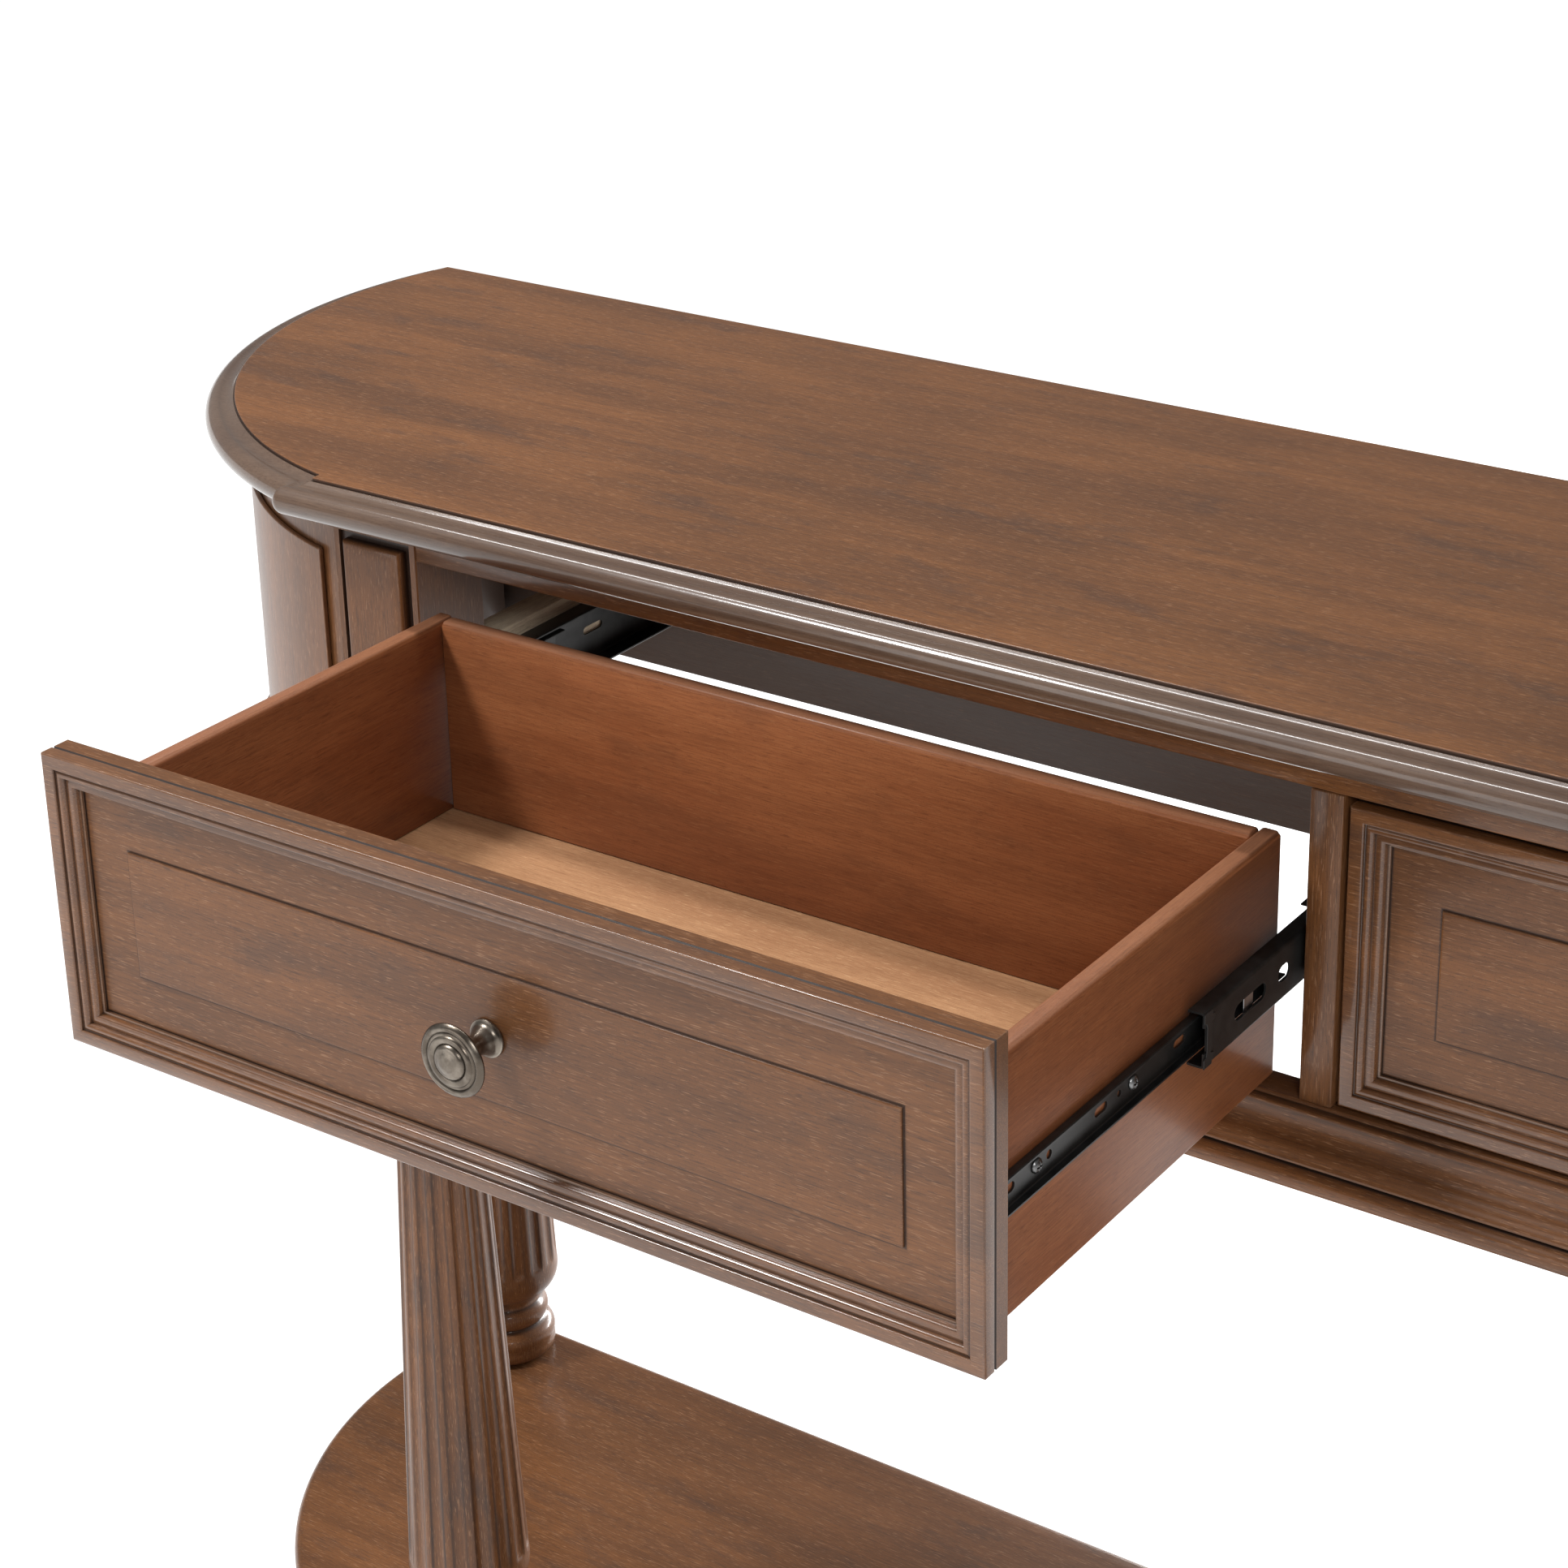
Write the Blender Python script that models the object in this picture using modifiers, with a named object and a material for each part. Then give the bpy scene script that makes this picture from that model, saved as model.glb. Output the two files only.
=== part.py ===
"""Console table with two drawers on ball-bearing slides, fluted legs and a lower shelf.

Units are metres. X runs along the table, the front faces -Y and the floor is z = 0.
Everything is laid out from the front plane of the case (y = 0); one parent empty then
moves the table along Y, so that the world origin is under the middle of its bounding box.
The left drawer is drawn at full extension and the right one is closed.
"""

import math

import bmesh
import bpy
from mathutils import Matrix

# ---------------------------------------------------------------- driving dimensions
LENGTH = 1.572  # over the moulded edge of both rounded ends
DEPTH = 0.345  # front moulding to back edge
HEIGHT = 0.812
TOP_THICK = 0.019
TOP_OVERHANG = 0.028  # front moulding ahead of the case
END_RADIUS = 0.271  # rounded end of the top, in plan
END_CENTRE_BACK = 0.074  # centre of that end, in front of the back edge
BREAK_PAST_POST = 0.0176  # the top's forward section runs this far past the front posts
BACK_OVERHANG = 0.005  # back edge of the top behind the back board
TOP_CORNER, LEAST_CORNER = 0.006, 0.0008  # corner of the forward section, outside and inside

DRAWER_WIDTH = 0.500
DRAWER_HEIGHT = 0.147
DRAWER_GAP = 0.003
DRAWER_BACK_ROOM = 0.0385  # behind a closed drawer
BOX_ABOVE, BOX_BELOW = 0.0067, 0.0198  # drawer box inside the height of its front
FLOOR_RISE = 0.012  # underside of the drawer's floor above the bottom of its box
FRAME_THICK = 0.0082  # moulded frame on the drawer front
PANEL_THICK = 0.0096  # board behind that frame
BOARD = 0.0105  # drawer sides and back
BOTTOM_THICK = 0.0038
GROOVE_DEPTH = 0.004
PANEL_INSET = 0.042  # raised field inside the edge of the drawer front
PANEL_RISE = 0.0012

DIVIDER = 0.0158
BACK_THICK = 0.012
BACK_LIFT = 0.0055  # bottom of the back board above that of the case
POST_WIDTH = 0.0555
POST_DEPTH = 0.050
BACK_POST = 0.036
BACK_POST_FORWARD = 0.008  # back post in front of the back board
BACK_POST_SPARE = 0.0018  # between the back post and the curved apron
RAIL_THICK = 0.018
TOP_RAIL = 0.0195
BOTTOM_RAIL = 0.035
APRON_INSET = 0.025  # rounded end of the case inside that of the top
APRON_THICK = 0.012
OVERLAY_THICK = 0.003
OVERLAY_BELOW_TOP = 0.0275
OVERLAY_REVEAL = 0.0137  # apron left bare in front of the overlay and behind it
CLEAT_THICK = 0.018
CLEAT_HEIGHT = 0.050
CLEAT_ABOVE_SLIDE = 0.007
BLOCK_MARGIN = 0.0083  # raised block inside the sides of its post
BLOCK_ABOVE_RAIL, BLOCK_ABOVE_OPENING = 0.0035, 0.0145  # its top and bottom
MOULDING_DROP = 0.0015  # base moulding under the opening

SHELF_TOP = 0.067
SHELF_THICK = 0.018
SHELF_RADIUS = 0.250
SHELF_INSET = 0.0175  # ends of the shelf inside those of the top
SHELF_BACK_INSET = 0.012
SHELF_CENTRE_FORWARD = 0.038  # centre of its round end ahead of the top's
SHELF_EASE = 0.0035
LEG_INSET = (0.026, 0.021)  # front leg's axis inside its post and behind the case front

SIDE_CLEARANCE = 0.013  # case to drawer side, filled by a slide
SLIDE_SHEET = 0.0012
CABINET_HALF, MIDDLE_HALF, DRAWER_HALF = 0.0175, 0.0133, 0.0088  # half heights of its members
MIDDLE_FROM_CASE, MIDDLE_FROM_DRAWER = 0.0027, 0.0022
DRAWER_WEB = 0.0052  # drawer member's web, from the case
CABINET_BEHIND, DRAWER_BEHIND, MIDDLE_BEHIND = 0.001, 0.002, 0.0262  # behind a closed front
SLIDE_SPARE = 0.0017  # drawer member short of the back of the box
MIDDLE_SHORTER = 0.050  # middle member shorter than the others
KNOB_REACH = 0.028
KNOB_RADIUS = 0.0166
KNOB_DISH = 0.0052  # rim of the knob behind its face
SCREW_RADIUS = 0.0019
SCREW_IN_KNOB = 0.011
BOLT_RADIUS = 0.004
BOLT_IN_LEG, BOLT_IN_POST = 0.028, 0.030
SPIGOT_RADIUS = 0.008
SPIGOT_IN_FOOT = 0.020
DRILL_SPARE = 0.003  # holes run this far past what goes in them
CUT_PAST = 0.010  # cutters run this far past a surface
JOIN = 0.001  # overlap of shapes that are joined
MERGE = 0.00001
GAP = 0.0003  # between pieces that touch

# ---------------------------------------------------------------- worked out from them
BACK_EDGE = DEPTH - TOP_OVERHANG
END_X = LENGTH / 2 - END_RADIUS
END_Y = BACK_EDGE - END_CENTRE_BACK
BACK_FACE = BACK_EDGE - BACK_OVERHANG - BACK_THICK  # inner face of the back board
APRON_RADIUS = END_RADIUS - APRON_INSET

CASE_TOP = HEIGHT - TOP_THICK
OPENING_TOP = CASE_TOP - TOP_RAIL
DRAWER_TOP = OPENING_TOP - 1.5 * DRAWER_GAP
DRAWER_BOTTOM = DRAWER_TOP - DRAWER_HEIGHT
OPENING_BOTTOM = DRAWER_BOTTOM - DRAWER_GAP
CASE_BOTTOM = OPENING_BOTTOM - BOTTOM_RAIL
DRAWER_X = DIVIDER / 2 + DRAWER_GAP + DRAWER_WIDTH / 2
POST_INNER = DRAWER_X + DRAWER_WIDTH / 2 + DRAWER_GAP
POST_OUTER = POST_INNER + POST_WIDTH
BREAK_HALF = POST_OUTER + BREAK_PAST_POST

BOX_HALF = DRAWER_WIDTH / 2 + DRAWER_GAP - SIDE_CLEARANCE
BOX_FRONT = FRAME_THICK + PANEL_THICK
BOX_BACK = BACK_FACE - DRAWER_BACK_ROOM
BOX_BOTTOM = DRAWER_BOTTOM + BOX_ABOVE
BOX_TOP = DRAWER_TOP - BOX_BELOW
GROOVE_Z = BOX_BOTTOM + FLOOR_RISE
TRAVEL = BOX_BACK  # full extension brings the back of the box to the front of the case

# Spans of the slide members, as distances from the case towards the drawer.
SLIDE_Z = (BOX_BOTTOM + BOX_TOP) / 2
CABINET_SPAN = (GAP, SIDE_CLEARANCE - SLIDE_SHEET)
MIDDLE_SPAN = (MIDDLE_FROM_CASE, SIDE_CLEARANCE - MIDDLE_FROM_DRAWER)
DRAWER_SPAN = (SIDE_CLEARANCE - GAP, DRAWER_WEB)
CABINET_START = BOX_FRONT + CABINET_BEHIND
DRAWER_START = BOX_FRONT + DRAWER_BEHIND
MIDDLE_START = BOX_FRONT + MIDDLE_BEHIND
SLIDE_LENGTH = BOX_BACK - DRAWER_START - SLIDE_SPARE
MIDDLE_LENGTH = SLIDE_LENGTH - MIDDLE_SHORTER

LEG_FRONT = (POST_OUTER - LEG_INSET[0], LEG_INSET[1])
BACK_POST_Y = BACK_FACE - BACK_POST / 2 - BACK_POST_FORWARD
BACK_POST_CORNER = BACK_POST_Y + BACK_POST / 2 - END_Y
BACK_POST_ROOM = math.sqrt((APRON_RADIUS - APRON_THICK) ** 2 - BACK_POST_CORNER**2)
LEG_BACK = (END_X + BACK_POST_ROOM - BACK_POST_SPARE - BACK_POST / 2, BACK_POST_Y)
FOOT_HEIGHT = SHELF_TOP - SHELF_THICK
SHELF_FRONT, SHELF_BACK = -TOP_OVERHANG / 2, BACK_EDGE - SHELF_BACK_INSET
SHELF_X, SHELF_Y = LENGTH / 2 - SHELF_INSET - SHELF_RADIUS, END_Y - SHELF_CENTRE_FORWARD

FRONT_REACH = TRAVEL + KNOB_REACH + GAP - (FRAME_THICK - PANEL_RISE)
TABLE_Y = (FRONT_REACH - BACK_EDGE) / 2  # puts the origin under the bounding box

ARC_STEPS = 28
ROUND_STEPS = 20
SIDES = (("left", -1), ("right", 1))

COLOURS = {
    "walnut_stain": (0.20, 0.085, 0.045),
    "drawer_box": (0.36, 0.16, 0.075),
    "raw_wood": (0.62, 0.46, 0.28),
    "slide_black": (0.02, 0.02, 0.022),
    "antique_brass": (0.22, 0.19, 0.15),
    "zinc": (0.55, 0.56, 0.58),
}
METALS = ("slide_black", "antique_brass", "zinc")


# ---------------------------------------------------------------- scene and materials
def clear_scene():
    for obj in list(bpy.data.objects):
        bpy.data.objects.remove(obj)


def new_collection(name, hidden=False):
    collection = bpy.data.collections.new(name)
    bpy.context.scene.collection.children.link(collection)
    collection.hide_render = hidden
    return collection


def material(name):
    """The Principled material of this name, made the first time it is asked for."""
    found = bpy.data.materials.get(name)
    if found:
        return found
    made = bpy.data.materials.new(name)
    made.use_nodes = True
    shader = made.node_tree.nodes["Principled BSDF"]
    shader.inputs["Base Color"].default_value = (*COLOURS[name], 1)
    shader.inputs["Roughness"].default_value = 0.4
    shader.inputs["Metallic"].default_value = float(name in METALS)
    return made


def add_object(name, data, finish=None, parent=None, collection="console_table"):
    """Links a new object that holds this mesh, curve or None (an empty)."""
    obj = bpy.data.objects.new(name, data)
    bpy.data.collections[collection].objects.link(obj)
    obj.parent = parent
    if finish:
        data.materials.append(material(finish))
    return obj


def empty(name, location, parent=None):
    obj = add_object(name, None, parent=parent)
    obj.location = location
    return obj


def mesh_object(bm, name, finish, parent=None, collection="console_table"):
    bmesh.ops.recalc_face_normals(bm, faces=bm.faces)
    mesh = bpy.data.meshes.new(name)
    bm.to_mesh(mesh)
    bm.free()
    return add_object(name, mesh, finish, parent, collection)


# ---------------------------------------------------------------- shape helpers
def box(x, y, z):
    """A cube primitive stretched between these limits."""
    bm = bmesh.new()
    size = [high - low for low, high in (x, y, z)]
    middle = [(low + high) / 2 for low, high in (x, y, z)]
    place = Matrix.LocRotScale(middle, None, size)
    bmesh.ops.create_cube(bm, size=1, matrix=place)
    return bm


def rod(radius, low, high, steps=16):
    """A cylinder primitive standing on Z between two heights."""
    bm = bmesh.new()
    place = Matrix.Translation((0, 0, (low + high) / 2))
    size = {"radius1": radius, "radius2": radius, "depth": high - low}
    bmesh.ops.create_cone(bm, cap_ends=True, segments=steps, matrix=place, **size)
    return bm


def turned(profile, name, finish, parent, steps=ROUND_STEPS):
    """A Screw of (radius, height) points, which run up the outer side from axis to axis."""
    bm = bmesh.new()
    verts = [bm.verts.new((radius, 0, height)) for radius, height in reversed(profile)]
    for upper, lower in zip(verts, verts[1:]):
        bm.edges.new((upper, lower))
    mesh = bpy.data.meshes.new(name)
    bm.to_mesh(mesh)
    bm.free()
    obj = add_object(name, mesh, finish, parent)
    screw = obj.modifiers.new("Turning", "SCREW")
    screw.steps = screw.render_steps = steps
    screw.use_merge_vertices = True
    screw.merge_threshold = MERGE
    screw.use_smooth_shade = True
    return obj


AXIS_TURNS = {"x": (math.pi / 2, 0, math.pi / 2), "y": (math.pi / 2, 0, 0), "z": (0, 0, 0)}


def prism(outline, axis, low, high, name, finish, parent, offset=(0, 0, 0)):
    """A filled 2D curve extruded along X, Y or Z. Its points are the other two, in order."""
    curve = bpy.data.curves.new(name, "CURVE")
    curve.dimensions = "2D"
    curve.fill_mode = "BOTH"
    curve.extrude = (high - low) / 2
    spline = curve.splines.new("POLY")
    spline.points.add(len(outline) - 1)
    for point, (u, v) in zip(spline.points, outline):
        point.co = (u, v, 0, 1)
    spline.use_cyclic_u = True
    obj = add_object(name, curve, finish, parent)
    obj.rotation_euler = AXIS_TURNS[axis]
    obj.location = offset
    obj.location["xyz".index(axis)] += (low + high) / 2
    return obj


def as_mesh(curve_object):
    """The same piece as a welded mesh object, which Booleans and bevels can work on."""
    bpy.context.view_layer.update()
    graph = bpy.context.evaluated_depsgraph_get()
    name, matrix, parent = curve_object.name, curve_object.matrix_local.copy(), curve_object.parent
    mesh = bpy.data.meshes.new_from_object(curve_object.evaluated_get(graph))
    bpy.data.objects.remove(curve_object)
    bm = bmesh.new()
    bm.from_mesh(mesh)
    bmesh.ops.remove_doubles(bm, verts=bm.verts, dist=MERGE)
    bm.to_mesh(mesh)
    bm.free()
    obj = add_object(name, mesh, parent=parent)
    obj.matrix_local = matrix
    return obj


def round_edges(obj, width, segments=2):
    bevel = obj.modifiers.new("Rounded edges", "BEVEL")
    bevel.width = width
    bevel.segments = segments
    bevel.limit_method = "ANGLE"
    bevel.angle_limit = math.radians(50)


def arc(centre, radius, start, end, steps):
    """Points on a circle from angle start to angle end, ends included."""
    angles = [start + (end - start) * i / steps for i in range(steps + 1)]
    return [(centre[0] + radius * math.cos(a), centre[1] + radius * math.sin(a)) for a in angles]


def loft(rings, closed_rings=True, closed_loft=False):
    """Joins unlike sections of equal length. An open loft gets an end face on each side."""
    bm = bmesh.new()
    rows = [[bm.verts.new(point) for point in ring] for ring in rings]
    pairs = list(zip(rows, rows[1:]))
    if closed_loft:
        pairs.append((rows[-1], rows[0]))
    for low, high in pairs:
        count = len(low)
        for i in range(count if closed_rings else count - 1):
            j = (i + 1) % count
            bm.faces.new((low[i], low[j], high[j], high[i]))
    if not closed_loft:
        bm.faces.new(rows[0])
        bm.faces.new(rows[-1])
    if not closed_rings:
        bm.faces.new([row[0] for row in rows] + [row[-1] for row in reversed(rows)])
    return bm


def boolean(target, tool_mesh, operation, name):
    """Cuts or joins a tool, which stays in the hidden collection of cutters."""
    tool = mesh_object(tool_mesh, name, "zinc", target.parent, "cutters")
    tool.display_type = "WIRE"
    modifier = target.modifiers.new(name, "BOOLEAN")
    modifier.operation = operation
    modifier.solver = "EXACT"
    modifier.object = tool


def drill(target, centre, radius, z, name):
    bit = rod(radius, *z)
    bmesh.ops.translate(bit, verts=bit.verts, vec=(*centre, 0))
    boolean(target, bit, "DIFFERENCE", name)


# ---------------------------------------------------------------- top
def end_path(radius, front_x, back_y):
    """Left end in plan, from the back round to front_x, with a straight run if it starts short."""
    back = math.pi - math.asin((back_y - END_Y) / radius)
    if front_x < END_X - END_RADIUS / 10:
        path = arc((-END_X, END_Y), radius, back, 1.5 * math.pi, ARC_STEPS)
        return path + [(-front_x, END_Y - radius)]
    front = math.pi + math.acos((front_x - END_X) / radius)
    return arc((-END_X, END_Y), radius, back, front, ARC_STEPS)


def half_outline(inset):
    """Left half of the top's outline, from the back edge to the front corner."""
    step_x = BREAK_HALF - inset
    front = inset - TOP_OVERHANG
    corner = max(TOP_CORNER - inset, LEAST_CORNER)
    centre = (corner - step_x, front + corner)
    path = end_path(END_RADIUS - inset, step_x, BACK_EDGE)
    return path + arc(centre, corner, math.pi, 1.5 * math.pi, 3)


def mirrored(points):
    return points + [(-x, y) for x, y in reversed(points)]


def top_profile():
    """(inset, z) round the moulded edge: half-round nose, shallow cove, raised flat."""
    nose = (TOP_THICK - 0.0035) / 2
    middle = CASE_TOP + nose
    points = []
    for i in range(7):
        angle = math.pi * (i / 6 - 0.5)
        points.append((nose - nose * math.cos(angle), middle + nose * math.sin(angle)))
    cove, rise, flat = 0.0125, 0.0155, 0.0165
    points += [(cove, HEIGHT - 0.0042), (rise, HEIGHT - 0.0025), (flat, HEIGHT - 0.0015)]
    return points + [(flat + 0.0002, HEIGHT)]


def build_top(table):
    rings = [[(x, y, z) for x, y in mirrored(half_outline(inset))] for inset, z in top_profile()]
    mesh_object(loft(rings, closed_rings=False), "top_board", "walnut_stain", table)


# ---------------------------------------------------------------- case
def end_sector(radius_in, radius_out, side, front_x, back_y):
    """Outline of a curved board round one end, from front_x back to back_y."""
    outer, inner = (end_path(radius, front_x, back_y) for radius in (radius_out, radius_in))
    return [(-side * x, y) for x, y in outer + inner[::-1]]


def base_profile():
    """(distance out from the case, z) of the base moulding: ogee, groove and bead."""
    top = OPENING_BOTTOM - MOULDING_DROP
    bead = 0.0055
    out = 0.0155
    points = [(GAP, top), (0.0050, top), (0.0060, top - 0.005), (0.0095, top - 0.012)]
    points += [(0.0165, top - 0.0195), (0.0165, top - 0.0210), (0.0145, top - 0.0225)]
    middle = CASE_BOTTOM + bead + 0.0005
    for i in range(4):
        angle = math.radians(60 - 50 * i)
        points.append((out + bead * math.cos(angle), middle + bead * math.sin(angle)))
    return points + [(out, CASE_BOTTOM), (GAP, CASE_BOTTOM)]


def end_moulding_sections(side):
    """The moulding's section at each step round one end of the case."""
    rings = []
    for out, z in base_profile():
        path = end_path(APRON_RADIUS + out, POST_OUTER + GAP, BACK_FACE + BACK_THICK)
        rings.append([(-side * x, y, z) for x, y in path])
    return [list(ring) for ring in zip(*rings)]


def build_case(table):
    rail_x = (GAP - POST_INNER, POST_INNER - GAP)
    rails = (("top", (OPENING_TOP, CASE_TOP - GAP)), ("bottom", (CASE_BOTTOM, OPENING_BOTTOM)))
    for name, z in rails:
        mesh_object(box(rail_x, (0, RAIL_THICK), z), f"front_{name}_rail", "walnut_stain", table)

    rail_back = RAIL_THICK + GAP
    outline = [(0, OPENING_BOTTOM + GAP), (rail_back, OPENING_BOTTOM + GAP), (rail_back, CASE_BOTTOM)]
    outline += [(BACK_FACE - GAP, CASE_BOTTOM), (BACK_FACE - GAP, CASE_TOP - GAP)]
    outline += [(rail_back, CASE_TOP - GAP), (rail_back, OPENING_TOP - GAP), (0, OPENING_TOP - GAP)]
    prism(outline, "x", -DIVIDER / 2, DIVIDER / 2, "centre_divider", "walnut_stain", table)

    back_y = (BACK_FACE, BACK_FACE + BACK_THICK)
    back_x = END_X + math.sqrt(APRON_RADIUS**2 - (back_y[1] - END_Y) ** 2) - GAP
    back = box((-back_x, back_x), back_y, (CASE_BOTTOM + BACK_LIFT, CASE_TOP - GAP))
    mesh_object(back, "back_board", "walnut_stain", table)

    section = [(-out, z) for out, z in base_profile()]
    prism(section, "x", -POST_OUTER, POST_OUTER, "base_moulding_front", "walnut_stain", table)
    for name, side in SIDES:
        build_end(table, name, side)
        build_front_post(table, name, side)
        build_back_post(table, name, side)


def build_end(table, name, side):
    """Curved apron, its overlay and moulding, and the cleat for the slide beside them."""
    apron = end_sector(APRON_RADIUS - APRON_THICK, APRON_RADIUS, side, POST_OUTER + GAP, BACK_FACE - GAP)
    prism(apron, "z", CASE_BOTTOM, CASE_TOP - GAP, f"end_apron_{name}", "walnut_stain", table)

    inner = APRON_RADIUS + GAP
    ends = (POST_OUTER + OVERLAY_REVEAL, BACK_FACE - OVERLAY_REVEAL)
    overlay = end_sector(inner, inner + OVERLAY_THICK, side, *ends)
    low, high = OPENING_BOTTOM + DRAWER_GAP, CASE_TOP - OVERLAY_BELOW_TOP
    prism(overlay, "z", low, high, f"end_overlay_{name}", "walnut_stain", table)

    moulding = loft(end_moulding_sections(side))
    mesh_object(moulding, f"base_moulding_{name}", "walnut_stain", table)

    x = sorted((side * (POST_INNER + GAP), side * (POST_INNER + CLEAT_THICK)))
    cleat_top = SLIDE_Z + CABINET_HALF + CLEAT_ABOVE_SLIDE
    cleat = box(x, (POST_DEPTH + GAP, BACK_FACE - GAP), (cleat_top - CLEAT_HEIGHT, cleat_top))
    mesh_object(cleat, f"slide_cleat_{name}", "raw_wood", table)


def build_back_post(table, name, side):
    half = BACK_POST / 2
    x, y = side * LEG_BACK[0], LEG_BACK[1]
    post = box((x - half, x + half), (y - half, y + half), (CASE_BOTTOM, CASE_TOP - GAP))
    post = mesh_object(post, f"back_post_{name}", "walnut_stain", table)
    drill_post(post, (x, y), f"back_bolt_hole_{name}")


def build_front_post(table, name, side):
    """Square post with a raised and bevelled block on its face."""
    middle, half = side * (POST_INNER + POST_WIDTH / 2), POST_WIDTH / 2
    post = box((middle - half, middle + half), (0, POST_DEPTH), (CASE_BOTTOM, CASE_TOP - GAP))
    post = mesh_object(post, f"front_post_{name}", "walnut_stain", table)
    top, bottom = OPENING_TOP + BLOCK_ABOVE_RAIL, OPENING_BOTTOM + BLOCK_ABOVE_OPENING
    block_half = half - BLOCK_MARGIN
    rings = []
    for edge, y in ((0.0, 0.002), (0.0, -0.0020), (0.002, -0.0030), (0.0075, -0.0045)):
        u, low, high = block_half - edge, bottom + edge, top - edge
        rings.append([(middle + a, y, b) for a, b in ((-u, low), (u, low), (u, high), (-u, high))])
    boolean(post, loft(rings), "UNION", f"pilaster_block_{name}")
    drill_post(post, (side * LEG_FRONT[0], LEG_FRONT[1]), f"front_bolt_hole_{name}")


def drill_post(post, centre, name):
    depth = BOLT_IN_POST + DRILL_SPARE
    drill(post, centre, BOLT_RADIUS + GAP, (CASE_BOTTOM - CUT_PAST, CASE_BOTTOM + depth), name)


# ---------------------------------------------------------------- legs, shelf and feet
def leg_profile():
    """(radius, height above the shelf), from the spigot's end up to the bolt hole."""
    length = CASE_BOTTOM - GAP - SHELF_TOP
    spigot = -(SHELF_THICK + SPIGOT_IN_FOOT)
    points = [(0, spigot), (SPIGOT_RADIUS, spigot), (SPIGOT_RADIUS, GAP)]
    points += [(0.025, GAP), (0.0294, 0.005), (0.0307, 0.012), (0.0290, 0.019), (0.0245, 0.025)]
    points += [(0.0262, 0.030), (0.0262, 0.035), (0.0228, 0.041), (0.0225, 0.0445), (0.0283, 0.0500)]
    points += [(0.0335, 0.0600), (0.0352, 0.070)]
    points += [(0.0198, length - 0.046), (0.0185, length - 0.042), (0.0240, length - 0.036)]
    points += [(0.0248, length - 0.031), (0.0235, length - 0.026), (0.0185, length - 0.021)]
    points += [(0.0265, length - 0.011), (0.0275, length - 0.007), (0.0275, length)]
    hole = (BOLT_RADIUS + GAP, length - BOLT_IN_LEG - DRILL_SPARE)
    return points + [(hole[0], length), hole, (0, hole[1])]


def foot_profile():
    """(radius, height above the floor), with the socket for the leg's spigot."""
    top = FOOT_HEIGHT - GAP
    socket = (SPIGOT_RADIUS + GAP, FOOT_HEIGHT - SPIGOT_IN_FOOT - DRILL_SPARE)
    points = [(0, 0), (0.020, 0), (0.0275, 0.005), (0.0305, 0.014), (0.0275, 0.022)]
    points += [(0.0195, 0.028), (0.0250, 0.033), (0.0265, 0.037), (0.0250, top)]
    return points + [(socket[0], top), socket, (0, socket[1])]


def leg_places():
    """(name, x, y) of each leg."""
    for depth, (x, y) in (("front", LEG_FRONT), ("back", LEG_BACK)):
        for name, side in SIDES:
            yield f"{depth}_{name}", side * x, y


def shelf_outline():
    back = math.pi - math.asin((SHELF_BACK - SHELF_Y) / SHELF_RADIUS)
    front = math.pi + math.asin((SHELF_Y - SHELF_FRONT) / SHELF_RADIUS)
    return mirrored(arc((-SHELF_X, SHELF_Y), SHELF_RADIUS, back, front, ARC_STEPS))


def build_stand(table):
    shelf = prism(shelf_outline(), "z", FOOT_HEIGHT, SHELF_TOP, "shelf", "walnut_stain", table)
    shelf = as_mesh(shelf)
    round_edges(shelf, SHELF_EASE)
    hole = (FOOT_HEIGHT - CUT_PAST, SHELF_TOP + CUT_PAST)
    for name, x, y in leg_places():
        drill(shelf, (x, y), SPIGOT_RADIUS + GAP, hole, f"spigot_hole_{name}")
        leg = turned(leg_profile(), f"leg_{name}", "walnut_stain", table)
        leg.location = (x, y, SHELF_TOP)
        foot = turned(foot_profile(), f"foot_{name}", "walnut_stain", table)
        foot.location = (x, y, 0)
        bolt = mesh_object(rod(BOLT_RADIUS, -BOLT_IN_LEG, BOLT_IN_POST), f"leg_bolt_{name}", "zinc", table)
        bolt.location = (x, y, CASE_BOTTOM)


# ---------------------------------------------------------------- drawers and slides
def frame_rings():
    """Rectangular rings round the moulded frame: chamfer, flat, quirk, ovolo and step."""
    back = FRAME_THICK - GAP
    steps = ((0, back), (0, 0.0010), (0.0010, 0), (0.0070, 0), (0.0078, 0.0017), (0.0105, 0.0019))
    steps += ((0.0135, 0.0032), (0.0150, 0.0055), (0.0165, 0.0060), (0.0172, back))
    half = DRAWER_WIDTH / 2
    rings = []
    for inset, y in steps:
        x = half - inset
        low, high = DRAWER_BOTTOM + inset, DRAWER_TOP - inset
        rings.append([(-x, y, low), (x, y, low), (x, y, high), (-x, y, high)])
    return rings


def knob_profile():
    """(radius, distance out from the drawer) of the knob, from its boss to its screw hole."""
    hole = SCREW_RADIUS + GAP
    rim = KNOB_REACH - KNOB_DISH
    points = [(0, 0.013), (hole, 0.013), (hole, 0), (0.0088, 0), (0.0088, 0.0014), (0.0070, 0.0045)]
    points += [(0.0050, 0.009), (0.0050, 0.014), (0.0066, rim - 0.0045), (0.0130, rim - 0.0025)]
    points += [(KNOB_RADIUS, rim - 0.0006), (KNOB_RADIUS, rim + 0.0006), (0.0145, rim + 0.0020)]
    points += [(0.0128, rim + 0.0012), (0.0098, rim + 0.0030), (0.0080, rim + 0.0022)]
    return points + [(0.0050, rim + 0.0042), (0, KNOB_REACH)]


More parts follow.
